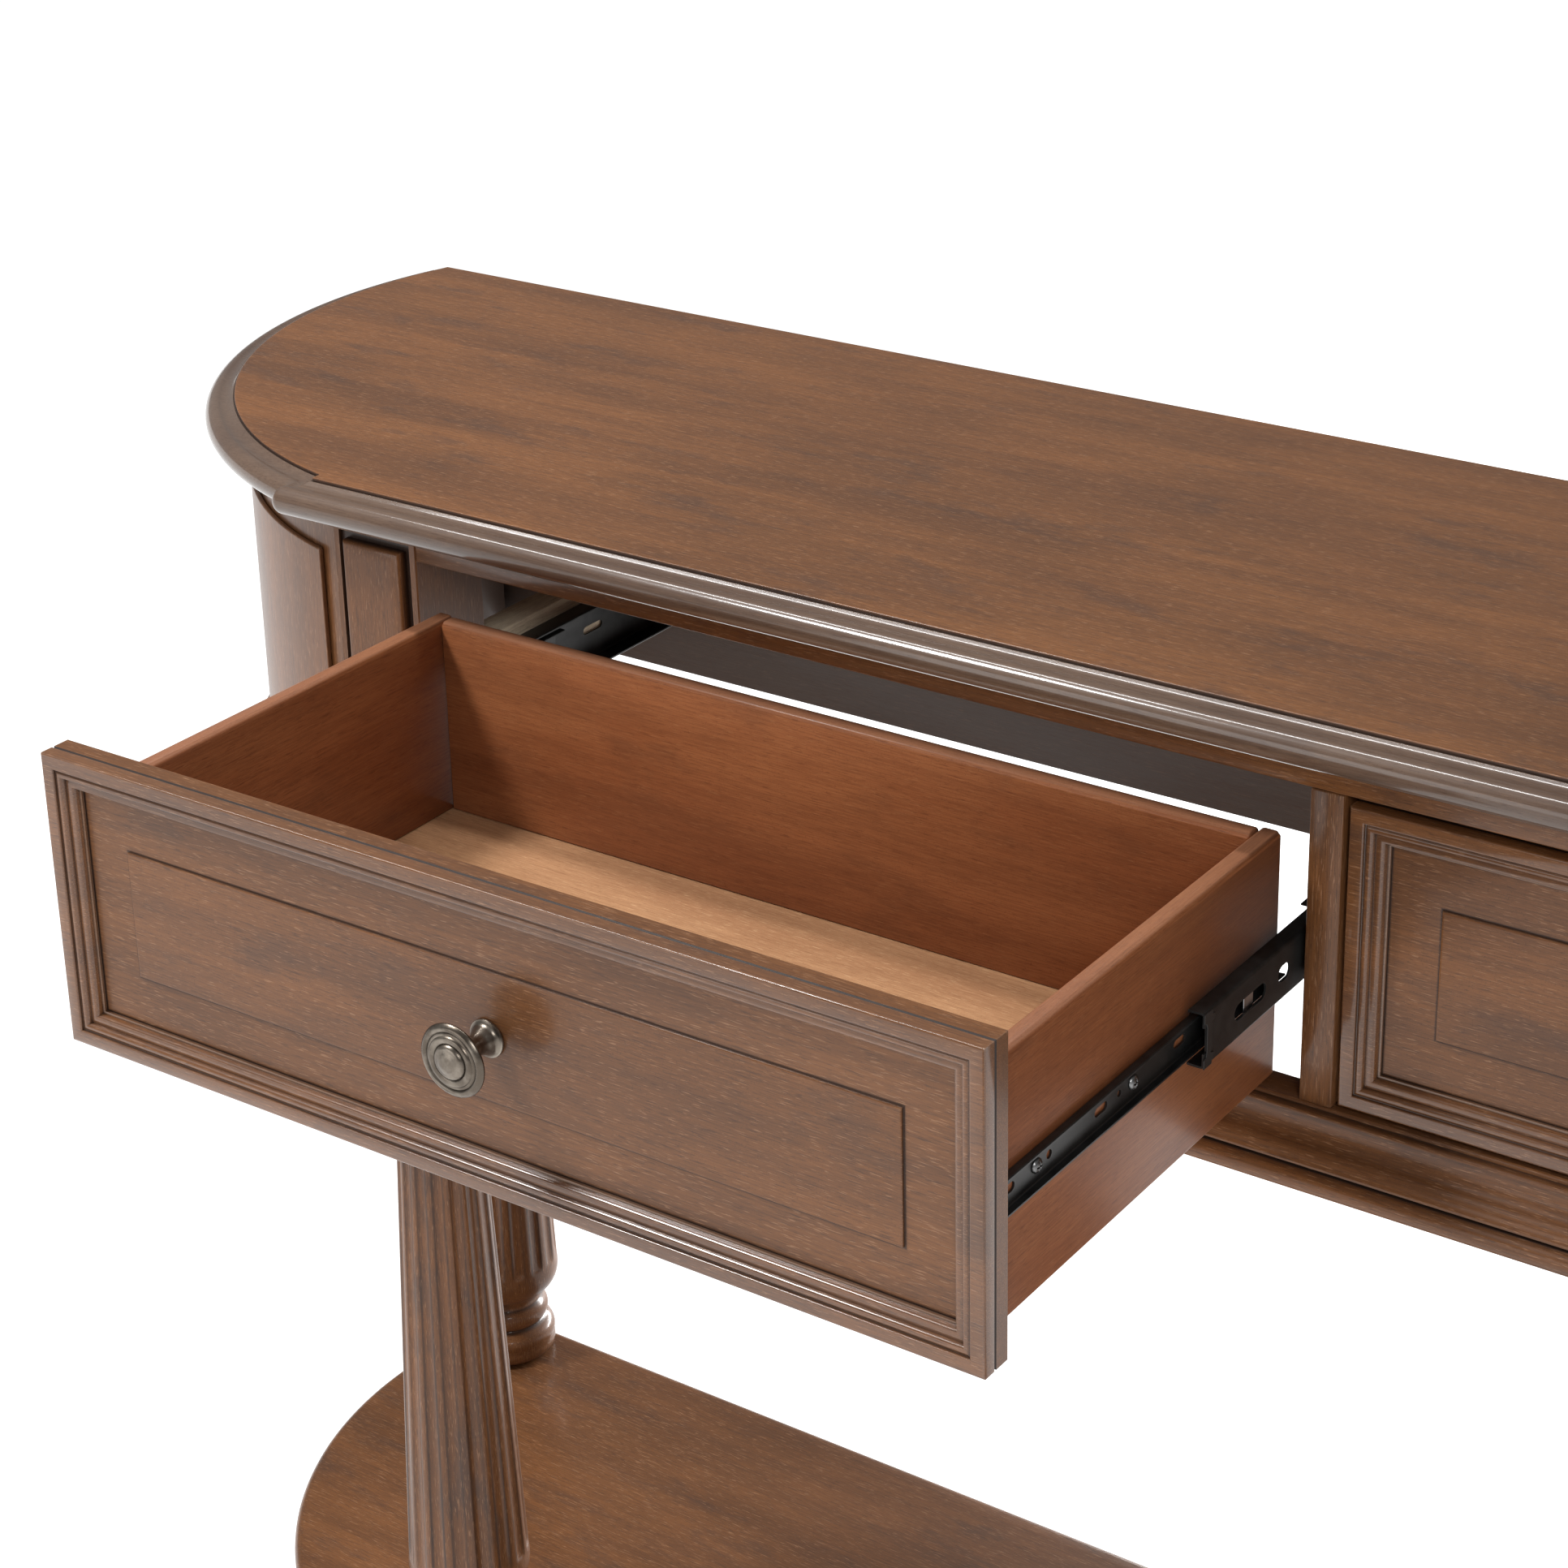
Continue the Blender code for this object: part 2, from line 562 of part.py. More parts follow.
def screw_profile():
    """(radius, distance out from the drawer front's inner face) of the knob's screw."""
    head, shank = 0.0042, PANEL_THICK + PANEL_RISE + SCREW_IN_KNOB
    points = [(0, -0.0025), (head - 0.0012, -0.0022), (head, -0.0008), (head, -GAP)]
    return points + [(SCREW_RADIUS, -GAP), (SCREW_RADIUS, shank), (0, shank)]


def build_drawer_front(drawer, name):
    """Moulded frame, the board behind it with its raised field, the knob and its screw."""
    mesh_object(loft(frame_rings(), closed_loft=True), f"drawer_{name}_frame", "walnut_stain", drawer)
    half = DRAWER_WIDTH / 2
    board = box((-half, half), (FRAME_THICK, BOX_FRONT), (DRAWER_BOTTOM, DRAWER_TOP))
    board = mesh_object(board, f"drawer_{name}_front", "walnut_stain", drawer)
    field_x = half - PANEL_INSET
    field_z = (DRAWER_BOTTOM + PANEL_INSET, DRAWER_TOP - PANEL_INSET)
    field = box((-field_x, field_x), (FRAME_THICK - PANEL_RISE, FRAME_THICK + JOIN), field_z)
    boolean(board, field, "UNION", f"raised_field_{name}")
    groove_x = BOX_HALF - BOARD + GROOVE_DEPTH + GAP
    groove_y = (BOX_FRONT - GROOVE_DEPTH - GAP, BOX_FRONT + CUT_PAST)
    groove = box((-groove_x, groove_x), groove_y, (GROOVE_Z - GAP, GROOVE_Z + BOTTOM_THICK + GAP))
    boolean(board, groove, "DIFFERENCE", f"bottom_groove_{name}")

    towards_front = Matrix.Rotation(math.pi / 2, 4, "X")
    middle = (DRAWER_BOTTOM + DRAWER_TOP) / 2
    bit = rod(SCREW_RADIUS + GAP, -2 * BOX_FRONT, 2 * BOX_FRONT)
    bmesh.ops.transform(bit, verts=bit.verts, matrix=Matrix.Translation((0, 0, middle)) @ towards_front)
    boolean(board, bit, "DIFFERENCE", f"knob_hole_{name}")

    knob = turned(knob_profile(), f"drawer_{name}_knob", "antique_brass", drawer)
    knob.location = (0, FRAME_THICK - PANEL_RISE - GAP, middle)
    screw = turned(screw_profile(), f"drawer_{name}_knob_screw", "zinc", drawer, steps=16)
    screw.location = (0, BOX_FRONT, middle)
    for piece in (knob, screw):
        piece.rotation_euler = towards_front.to_euler()


def board_section(inner, outer):
    """(across, z) of a drawer board: top edges eased, and a groove for the bottom inside."""
    edge = 0.002
    inward = math.copysign(1, outer - inner)
    floor_low, floor_high = GROOVE_Z - GAP, GROOVE_Z + BOTTOM_THICK + GAP
    groove = inner + inward * (GROOVE_DEPTH + GAP)
    points = [(outer, BOX_BOTTOM), (outer, BOX_TOP - edge), (outer - inward * edge, BOX_TOP)]
    points += [(inner + inward * edge, BOX_TOP), (inner, BOX_TOP - edge), (inner, floor_high)]
    return points + [(groove, floor_high), (groove, floor_low), (inner, floor_low), (inner, BOX_BOTTOM)]


def build_drawer_box(drawer, name):
    low, high = BOX_FRONT + GAP, BOX_BACK
    inner = BOX_HALF - BOARD
    for side_name, side in SIDES:
        section = board_section(side * inner, side * BOX_HALF)
        prism(section, "y", low, high, f"drawer_{name}_side_{side_name}", "drawer_box", drawer)
    section = board_section(high - BOARD, high)
    prism(section, "x", GAP - inner, inner - GAP, f"drawer_{name}_back", "drawer_box", drawer)
    reach = inner + GROOVE_DEPTH
    bottom_y = (BOX_FRONT - GROOVE_DEPTH, high - BOARD + GROOVE_DEPTH)
    bottom = box((-reach, reach), bottom_y, (GROOVE_Z, GROOVE_Z + BOTTOM_THICK))
    mesh_object(bottom, f"drawer_{name}_bottom", "drawer_box", drawer)


def channel_section(half, span, direction):
    """C-shaped section of a slide member: web at span[0], flanges reaching to span[1]."""
    web, lip = span
    inside = web + math.copysign(SLIDE_SHEET, lip - web)
    points = [(web, -half), (lip, -half), (lip, SLIDE_SHEET - half), (inside, SLIDE_SHEET - half)]
    points += [(inside, half - SLIDE_SHEET), (lip, half - SLIDE_SHEET), (lip, half), (web, half)]
    return [(direction * u, v) for u, v in points]


def build_slide(name, side_name, side, table, drawer, open_by):
    """The three members of one slide. Distances in a span run from the case to the drawer."""
    wall = side * (BOX_HALF + SIDE_CLEARANCE)
    x = drawer.location.x + wall
    members = (
        ("cabinet", CABINET_HALF, CABINET_SPAN, SLIDE_LENGTH, table, (x, CABINET_START)),
        ("middle", MIDDLE_HALF, MIDDLE_SPAN, MIDDLE_LENGTH, table, (x, MIDDLE_START - open_by / 2)),
        ("drawer", DRAWER_HALF, DRAWER_SPAN, SLIDE_LENGTH, drawer, (wall, DRAWER_START)),
    )
    for member, half, span, length, parent, (place_x, place_y) in members:
        node = f"slide_{name}_{side_name}_{member}"
        place = (place_x, place_y, SLIDE_Z)
        prism(channel_section(half, span, -side), "y", 0, length, node, "slide_black", parent, place)


def build_drawer(table, name, side, open_by):
    drawer = empty(f"drawer_{name}", (side * DRAWER_X, -open_by, 0), table)
    build_drawer_front(drawer, name)
    build_drawer_box(drawer, name)
    for side_name, slide_side in SIDES:
        build_slide(name, side_name, slide_side, table, drawer, open_by)


def main():
    clear_scene()
    new_collection("console_table")
    new_collection("cutters", hidden=True)
    table = empty("console_table", (0, TABLE_Y, 0))
    build_top(table)
    build_case(table)
    build_stand(table)
    build_drawer(table, "left", -1, TRAVEL)
    build_drawer(table, "right", 1, 0)


main()
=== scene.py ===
"""Looks of a console table: a walnut-stained case with two drawers on fluted legs.

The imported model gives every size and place. Each class below is a sub-assembly. It builds
finer pieces in the room of the plain ones, or dresses the plain ones in a finish.
Lengths are in metres. X runs along the table, -Y is its front and +Z is up.
"""

from __future__ import annotations

import logging
import math
from dataclasses import dataclass
from enum import Enum
from typing import Any, Iterable, Sequence

import bmesh
import bpy
from mathutils import Matrix, Vector

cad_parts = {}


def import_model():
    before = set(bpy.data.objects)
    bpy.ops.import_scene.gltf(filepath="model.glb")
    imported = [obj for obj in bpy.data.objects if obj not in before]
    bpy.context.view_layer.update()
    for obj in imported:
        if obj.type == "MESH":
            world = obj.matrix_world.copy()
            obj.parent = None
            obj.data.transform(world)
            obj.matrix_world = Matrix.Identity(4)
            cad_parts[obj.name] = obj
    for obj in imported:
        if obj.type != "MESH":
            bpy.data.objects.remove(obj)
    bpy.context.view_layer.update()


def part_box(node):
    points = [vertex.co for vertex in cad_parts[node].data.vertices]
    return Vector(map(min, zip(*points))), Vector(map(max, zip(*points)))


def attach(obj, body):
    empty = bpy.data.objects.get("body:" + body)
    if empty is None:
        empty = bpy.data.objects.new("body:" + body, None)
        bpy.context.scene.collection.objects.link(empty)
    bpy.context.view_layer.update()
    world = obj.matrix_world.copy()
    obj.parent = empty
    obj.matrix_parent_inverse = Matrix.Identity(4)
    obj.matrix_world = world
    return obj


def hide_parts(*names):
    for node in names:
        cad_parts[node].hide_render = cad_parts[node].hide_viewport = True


LOG = logging.getLogger("console_table")
MERGE = 1e-6  # points closer than this are one

Point2 = tuple[float, float]
Point3 = tuple[float, float, float]
Colour = tuple[float, float, float]


class Axis(Enum):
    """A direction of the table that a board's grain can run in."""

    X = 0
    Y = 1
    Z = 2


class Side(Enum):
    """An end of the table or of a drawer, with the sign of X there."""

    LEFT = -1
    RIGHT = 1

    @property
    def word(self) -> str:
        """The side's name as the pieces spell it."""
        return self.name.lower()


# ------------------------------------------------------------------ node trees
class Wire:
    """A node's output, which adds Math nodes when Python's operators are used on it."""

    def __init__(self, tree: NodeTree, socket: bpy.types.NodeSocket) -> None:
        """Wraps one output socket of a tree."""
        self.tree = tree
        self.socket = socket

    def _math(self, operation: str, *values: Any) -> Wire:
        """Adds one Math node."""
        made = self.tree.node("ShaderNodeMath", {"operation": operation}, dict(enumerate(values)))
        return made.out()

    def __add__(self, other: Any) -> Wire:
        """self + other."""
        return self._math("ADD", self, other)

    __radd__ = __add__

    def __mul__(self, other: Any) -> Wire:
        """self * other."""
        return self._math("MULTIPLY", self, other)

    __rmul__ = __mul__

    def __sub__(self, other: Any) -> Wire:
        """self - other."""
        return self._math("SUBTRACT", self, other)

    def __rsub__(self, other: Any) -> Wire:
        """other - self."""
        return self._math("SUBTRACT", other, self)

    def __truediv__(self, other: Any) -> Wire:
        """self / other."""
        return self._math("DIVIDE", self, other)

    def __pow__(self, other: Any) -> Wire:
        """self to the power other."""
        return self._math("POWER", self, other)

    def absolute(self) -> Wire:
        """The size without the sign."""
        return self._math("ABSOLUTE", self)

    def fraction(self) -> Wire:
        """The part after the decimal point."""
        return self._math("FRACT", self)

    def at_least(self, other: Any) -> Wire:
        """The larger of the two."""
        return self._math("MAXIMUM", self, other)

    def angle_to(self, other: Any) -> Wire:
        """The angle of the point (other, self) about the origin."""
        return self._math("ARCTAN2", self, other)

    def between(self, low: float, high: float) -> Wire:
        """A smooth step from 0 at low to 1 at high, where low may be the larger.

        Args:
            low: The value that gives 0.
            high: The value that gives 1.

        Returns:
            The stepped value.
        """
        flipped = low > high
        low, high = min(low, high), max(low, high)
        settings = {"interpolation_type": "SMOOTHSTEP"}
        inputs = {"Value": self, "From Min": low, "From Max": high}
        stepped = self.tree.node("ShaderNodeMapRange", settings, inputs).out()
        return 1 - stepped if flipped else stepped


class Made:
    """A node that was just added."""

    def __init__(self, tree: NodeTree, node: bpy.types.Node) -> None:
        """Keeps the node with its tree."""
        self.tree = tree
        self.node = node

    def out(self, key: str | int = 0) -> Wire:
        """One output, by its number, name or identifier."""
        return Wire(self.tree, self.tree.find(self.node.outputs, key))


class NodeTree:
    """A shader or geometry tree with one way to add nodes."""

    def __init__(self, tree: bpy.types.NodeTree) -> None:
        """Wraps a tree and empties it."""
        self.tree = tree
        tree.nodes.clear()

    @staticmethod
    def find(sockets: Any, key: str | int) -> bpy.types.NodeSocket:
        """The socket with this number, identifier or name.

        Args:
            sockets: A node's inputs or outputs.
            key: What to look for.

        Returns:
            The socket.
        """
        if isinstance(key, int):
            return sockets[key]
        same = [s for s in sockets if s.identifier == key] or [s for s in sockets if s.name == key]
        return same[0]

    def node(self, kind: str, settings: dict | None = None, inputs: dict | None = None) -> Made:
        """Adds a node.

        Args:
            kind: The node's type.
            settings: Its properties, and "stops" as (place, colour) pairs for a ramp.
            inputs: Values or Wires for its input sockets, by number, name or identifier.

        Returns:
            The node, ready to be wired on.
        """
        node = self.tree.nodes.new(kind)
        for name, value in (settings or {}).items():
            if name == "stops":
                self._set_stops(node.color_ramp, value)
            else:
                setattr(node, name, value)
        for key, value in (inputs or {}).items():
            socket = self.find(node.inputs, key)
            if isinstance(value, Wire):
                self.tree.links.new(value.socket, socket)
            elif socket.type == "RGBA" and len(value) == 3:
                socket.default_value = (*value, 1)
            else:
                socket.default_value = value
        return Made(self, node)

    @staticmethod
    def _set_stops(ramp: bpy.types.ColorRamp, stops: Sequence[tuple[float, Colour]]) -> None:
        """Gives a colour ramp its stops.

        Args:
            ramp: The ramp of a Color Ramp node.
            stops: The place and the colour of each stop.
        """
        while len(ramp.elements) < len(stops):
            ramp.elements.new(1.0)
        for element, (place, colour) in zip(ramp.elements, stops):
            element.position = place
            element.color = (*colour, 1)

    def mix(self, factor: Any, first: Any, second: Any, blend: str = "MIX") -> Wire:
        """Mixes two colours.

        Args:
            factor: How much of the second colour, 0 to 1.
            first: A colour or a Wire.
            second: A colour or a Wire.
            blend: The way of mixing.

        Returns:
            The mixed colour.
        """
        settings = {"data_type": "RGBA", "blend_type": blend}
        inputs = {"Factor_Float": factor, "A_Color": first, "B_Color": second}
        return self.node("ShaderNodeMix", settings, inputs).out("Result_Color")

    def noise(self, place: Wire, scale: float, detail: float = 3.0, rough: float = 0.55) -> Wire:
        """Fractal noise from 0 to 1 round a middle of 0.5."""
        inputs = {"Vector": place, "Scale": scale, "Detail": detail, "Roughness": rough}
        return self.node("ShaderNodeTexNoise", None, inputs).out(0)


class Shader(NodeTree):
    """A new material's tree with the helpers that the finishes share."""

    def __init__(self, name: str) -> None:
        """Makes the material."""
        self.material = bpy.data.materials.new(name)
        self.material.use_nodes = True
        super().__init__(self.material.node_tree)
        self.place = self.node("ShaderNodeTexCoord").out("Object")

    def stretched(self, scale: Point3, shift: Point3 = (0, 0, 0)) -> Wire:
        """The object's coordinates with each axis scaled."""
        inputs = {"Vector": self.place, "Scale": scale, "Location": shift}
        return self.node("ShaderNodeMapping", None, inputs).out()

    def hollow(self, reach: float, inside: bool = False) -> Wire:
        """How closed in the surface is within a reach, 0 to 1. Inside, it finds edges.

        Args:
            reach: The distance that is looked over.
            inside: Whether to look into the solid.

        Returns:
            The share of the surroundings that is closed.
        """
        settings = {"samples": 6, "only_local": True, "inside": inside}
        made = self.node("ShaderNodeAmbientOcclusion", settings, {"Distance": reach})
        return 1 - made.out("AO")

    def attribute(self, name: str) -> Wire:
        """A number that the mesh carries at its points."""
        return self.node("ShaderNodeAttribute", {"attribute_name": name}).out("Fac")

    def bump(self, height: Wire, distance: float, normal: Wire | None = None) -> Wire:
        """A Bump node fed by a height.

        Args:
            height: The pattern, 0 to 1.
            distance: How high a 1 stands.
            normal: A normal to start from.

        Returns:
            The bent normal.
        """
        inputs: dict = {"Height": height, "Distance": distance, "Strength": 1.0}
        if normal:
            inputs["Normal"] = normal
        return self.node("ShaderNodeBump", None, inputs).out()

    def finish(self, **inputs: Any) -> bpy.types.Material:
        """Adds the Principled shader and the output, and returns the material.

        Args:
            inputs: The shader's inputs, with _ for a space in a name.

        Returns:
            The material.
        """
        named = {name.replace("_", " "): value for name, value in inputs.items()}
        shader = self.node("ShaderNodeBsdfPrincipled", None, named).out()
        self.node("ShaderNodeOutputMaterial", None, {"Surface": shader})
        return self.material


# ------------------------------------------------------------------ finishes
@dataclass(frozen=True)
class StainedWood:
    """A wood with a stain, a dark glazing with painted shade in its hollows, and wear with a painted
    highlight on its edges.
    """

    name: str
    grain: Axis
    body: Colour = (0.152, 0.0605, 0.021)
    warm: Colour = (0.205, 0.081, 0.027)
    dark: Colour = (0.052, 0.024, 0.014)
    smoke: Colour = (0.058, 0.036, 0.028)
    fleck: Colour = (0.36, 0.19, 0.10)
    # near-black colour of the glazing and of the shade painted in hollows
    glaze_colour: Colour = (0.012, 0.007, 0.006)
    # pale colour of worn edges and of the highlight painted on them
    worn_colour: Colour = (0.36, 0.25, 0.18)
    figure: float = 0.28
    smoked: float = 0.45
    flecks: float = 0.48
    # strength of the glazing and painted shade
    glaze: float = 0.92
    wear: float = 0.35
    roughness: float = 0.42
    coat: float = 0.38
    coat_roughness: float = 0.19

    def _along(self, along: float, across: float) -> Point3:
        """Scales that stretch a pattern along the grain."""
        return tuple(along if axis is self.grain else across for axis in Axis)

    def material(self) -> bpy.types.Material:
        """Builds the material.

        Returns:
            The finished material.
        """
        tree = Shader(self.name)
        cloud = tree.noise(tree.stretched(self._along(5.0, 19.0), (3.1, 1.7, 0.4)), 1.0, 4.0)
        band = tree.noise(tree.stretched(self._along(2.6, 46.0)), 1.0, 6.0, 0.62)
        patch = tree.noise(tree.stretched(self._along(13.0, 40.0), (7.3, 2.2, 5.1)), 1.0, 5.0, 0.65)
        fibre = tree.noise(tree.stretched(self._along(36.0, 1300.0)), 1.0, 3.0, 0.6)
        dash = tree.noise(tree.stretched(self._along(140.0, 1900.0), (0.7, 0.1, 0.3)), 1.0, 1.0)
        pores = tree.noise(tree.stretched(self._along(110.0, 1600.0), (0.3, 0.2, 0.7)), 1.0, 2.0)
        speck = tree.noise(tree.stretched((1150.0,) * 3), 1.0, 3.0, 0.7)

        colour = tree.mix(cloud.between(0.36, 0.66), self.body, self.warm)
        colour = tree.mix(band.between(0.57, 0.36) * self.figure, colour, self.dark)
        colour = tree.mix(patch.between(0.52, 0.70) * self.smoked, colour, self.smoke)
        colour = tree.mix(fibre.between(0.60, 0.38) * 0.30, colour, self.dark)
        colour = tree.mix(dash.between(0.60, 0.72) * self.flecks, colour, self.fleck)
        colour = tree.mix(pores.between(0.42, 0.32) * 0.50, colour, self.dark)
        colour = tree.mix(speck.between(0.44, 0.30) * 0.40, colour, self.dark)

        # Glazing and painted shade: where the surface is closed in within 6 mm, or its points carry a
        # glaze value, the colour goes to near black, as shade in creases, steps and recesses
        hollow = tree.hollow(0.006).between(0.20, 0.62)
        # Wear and painted highlight: convex edges, and points marked worn, go towards the pale colour,
        # for rubbed wood and for the light that edges catch
        edge = tree.hollow(0.0022, inside=True).between(0.30, 0.75)
        rubbed = edge.at_least(tree.attribute("worn")) * (0.3 + 0.9 * speck) * self.wear
        colour = tree.mix(rubbed, colour, self.worn_colour)
        glaze_and_shade_mask = hollow.at_least(tree.attribute("glaze")) * self.glaze
        colour = tree.mix(glaze_and_shade_mask, colour, self.glaze_colour)

        relief = fibre * 0.5 + pores * 0.6 + speck * 0.5
        gloss = self.roughness + 0.10 * (speck - 0.5) + 0.16 * (cloud - 0.5) + 0.12 * glaze_and_shade_mask
        return tree.finish(
            Base_Color=colour,
            Roughness=gloss,
            Normal=tree.bump(relief, 0.00005),
            Specular_IOR_Level=0.20,
            Coat_Weight=self.coat,
            Coat_Roughness=self.coat_roughness,
        )


@dataclass(frozen=True)
class Metal:
    """A metal with hollows darkened by patina and painted shade, and edges brightened by rubbing and a
    painted highlight.
    """

    name: str
    body: Colour
    # colour of patina and of the shade painted in hollows
    deep: Colour
    rubbed: Colour
    roughness: float = 0.35
    metallic: float = 1.0
    # strength of the rubbing and the painted edge highlight
    rub: float = 0.6
    reach: float = 0.002

    def material(self) -> bpy.types.Material:
        """Builds the material.

        Returns:
            The finished material.
        """
        tree = Shader(self.name)
        smear = tree.noise(tree.stretched((90.0,) * 3), 1.0, 4.0, 0.6)
        grit = tree.noise(tree.stretched((1500.0,) * 3), 1.0, 2.0)
        colour = tree.mix(smear.between(0.35, 0.7) * 0.5, self.body, self.rubbed)
        # Rubbing and painted highlight: edges go towards the bright rubbed colour
        edge = tree.hollow(self.reach * 0.6, inside=True).between(0.3, 0.7)
        colour = tree.mix(edge * self.rub, colour, self.rubbed)
        # Patina and painted shade: hollows within the reach go towards the deep colour
        hollow = tree.hollow(self.reach).between(0.15, 0.6)
        colour = tree.mix(hollow, colour, self.deep)
        gloss = self.roughness + 0.2 * (smear - 0.5) + 0.15 * hollow
        return tree.finish(
            Base_Color=colour,
            Metallic=self.metallic,
            Roughness=gloss,
            Normal=tree.bump(grit, 0.00001),
        )


class Palette:
    """Every finish of the table, each made once."""

    def __init__(self) -> None:
        """Builds the materials."""
        self._show_woods()
        self._hidden_woods()
        self._metals()

    def _show_woods(self) -> None:
        """The walnut stain of the outside, along each board's grain."""
        shine = {"coat": 1.0, "coat_roughness": 0.12, "smoked": 0.3, "wear": 0.45}
        # Painted sheen: the top's moulded edge gets a darker, greyer body, partly a darker toner and
        # partly the silver-grey reflection of its lacquer
        painted_sheen_colours = {"body": (0.100, 0.060, 0.040), "warm": (0.125, 0.078, 0.052)}
        calm = {"figure": 0.1, "flecks": 0.1}
        self.top = StainedWood("walnut_top", Axis.X, wear=0.2).material()
        self.nose = StainedWood("walnut_nose", Axis.X, **calm, **shine, **painted_sheen_colours).material()
        self.frame = StainedWood("walnut_frame", Axis.X, glaze=0.75, **shine).material()
        self.rail = StainedWood("walnut_rail", Axis.X, smoked=0.35).material()
        self.post = StainedWood("walnut_post", Axis.Z, smoked=0.3).material()
        self.leg = StainedWood("walnut_leg", Axis.Z, wear=0.55, smoked=0.55).material()
        self.shelf = StainedWood("walnut_shelf", Axis.X, wear=0.2).material()

    def _hidden_woods(self) -> None:
        """The inside of the case, the drawer boxes and the unstained wood."""
        inside = {"body": (0.060, 0.042, 0.034), "warm": (0.072, 0.050, 0.039), "wear": 0.0}
        inside |= {"flecks": 0.08, "coat": 0.08, "roughness": 0.5, "glaze": 0.4}
        self.inner = StainedWood("dark_inside", Axis.X, **inside).material()
        box = {"body": (0.27, 0.090, 0.034), "warm": (0.33, 0.120, 0.046)}
        box |= {"dark": (0.12, 0.036, 0.015), "smoke": (0.16, 0.060, 0.028)}
        box |= {"fleck": (0.46, 0.22, 0.10), "worn_colour": (0.36, 0.20, 0.13)}
        box |= {"glaze": 0.6, "coat": 0.12, "wear": 0.40, "flecks": 0.2, "figure": 0.3}
        self.box_side = StainedWood("drawer_side_stain", Axis.Y, **box).material()
        self.box_back = StainedWood("drawer_back_stain", Axis.X, **box).material()
        floor = {"body": (0.44, 0.235, 0.120), "warm": (0.54, 0.300, 0.155)}
        floor |= {"dark": (0.23, 0.105, 0.050), "smoke": (0.36, 0.180, 0.090)}
        floor |= {"fleck": (0.68, 0.43, 0.24), "flecks": 0.5, "figure": 0.3}
        self.box_floor = StainedWood("drawer_floor_stain", Axis.X, **floor).material()
        # Partly the pale raw wood and partly painted light: made paler so that the cleats in the case's
        # shade look lit
        raw = {"body": (0.70, 0.58, 0.42), "warm": (0.80, 0.68, 0.50)}
        raw |= {"dark": (0.42, 0.32, 0.22), "smoke": (0.55, 0.46, 0.36)}
        raw |= {"fleck": (0.85, 0.75, 0.60), "coat": 0.0, "roughness": 0.7, "glaze": 0.2}
        self.raw = StainedWood("raw_wood", Axis.Y, **raw).material()

    def _metals(self) -> None:
        """Slides, their bright parts, screws and knobs."""
        black = ((0.012, 0.012, 0.012), (0.003, 0.003, 0.003), (0.045, 0.044, 0.042))
        painted = {"roughness": 0.36, "metallic": 0.35, "rub": 0.5}
        self.slide = Metal("black_slide", *black, **painted).material()
        zinc = ((0.48, 0.49, 0.50), (0.12, 0.12, 0.12), (0.75, 0.76, 0.78))
        self.zinc = Metal("bright_zinc", *zinc, roughness=0.30).material()
        dull = ((0.11, 0.11, 0.11), (0.01, 0.01, 0.01), (0.40, 0.40, 0.40))
        self.screw = Metal("dark_screw", *dull, roughness=0.35).material()
        pewter = ((0.120, 0.098, 0.078), (0.018, 0.014, 0.011), (0.42, 0.37, 0.31))
        turned = {"roughness": 0.30, "rub": 0.8, "reach": 0.003}
        self.knob = Metal("antique_knob", *pewter, **turned).material()


# ------------------------------------------------------------------ sections and meshes
class Section:
    """A moulding's outline, drawn as straight and bowed stretches with a glazing and painted shade value
    at each point.
    """

    def __init__(self, x: float, y: float, glaze: float = 0.0) -> None:
        """Starts at a point."""
        self.points: list[tuple[float, float, float]] = [(x, y, glaze)]

    def line(self, x: float, y: float, glaze: float = 0.0) -> Section:
        """Goes straight to a point."""
        self.points.append((x, y, glaze))
        return self

    def bow(self, x: float, y: float, rise: float, steps: int = 6, glaze: float = 0.0) -> Section:
        """Goes to a point along a bow.

        Args:
            x: Where the bow ends.
            y: Where the bow ends.
            rise: How far it stands to the left of the straight line, as a share of it.
            steps: The number of straight steps.
            glaze: The glazing and painted shade at the end point.

        Returns:
            The section itself.
        """
        from_x, from_y, _ = self.points[-1]
        run_x, run_y = x - from_x, y - from_y
        for i in range(1, steps + 1):
            t = i / steps
            stand = 4 * rise * t * (1 - t)
            here = (from_x + run_x * t - run_y * stand, from_y + run_y * t + run_x * stand)
            self.points.append((*here, glaze if i == steps else 0.0))
        return self

    def round(
        self, x: float, y: float, radius: float, start: float, end: float, steps: int
    ) -> Section:
        """Adds an arc about (x, y) between two angles in degrees.

        Args:
            x: The centre of the arc.
            y: The centre of the arc.
            radius: Its radius.
            start: The angle it starts at.
            end: The angle it ends at.
            steps: The number of straight steps.

        Returns:
            The section itself.
        """
        for i in range(steps + 1):
            angle = math.radians(start + (end - start) * i / steps)
            self.points.append((x + radius * math.cos(angle), y + radius * math.sin(angle), 0.0))
        return self


def arc(centre: Point2, radius: float, start: float, end: float, steps: int) -> list[Point2]:
    """Points on a circle between two angles in radians, ends included."""
    angles = [start + (end - start) * i / steps for i in range(steps + 1)]
    return [(centre[0] + radius * math.cos(a), centre[1] + radius * math.sin(a)) for a in angles]


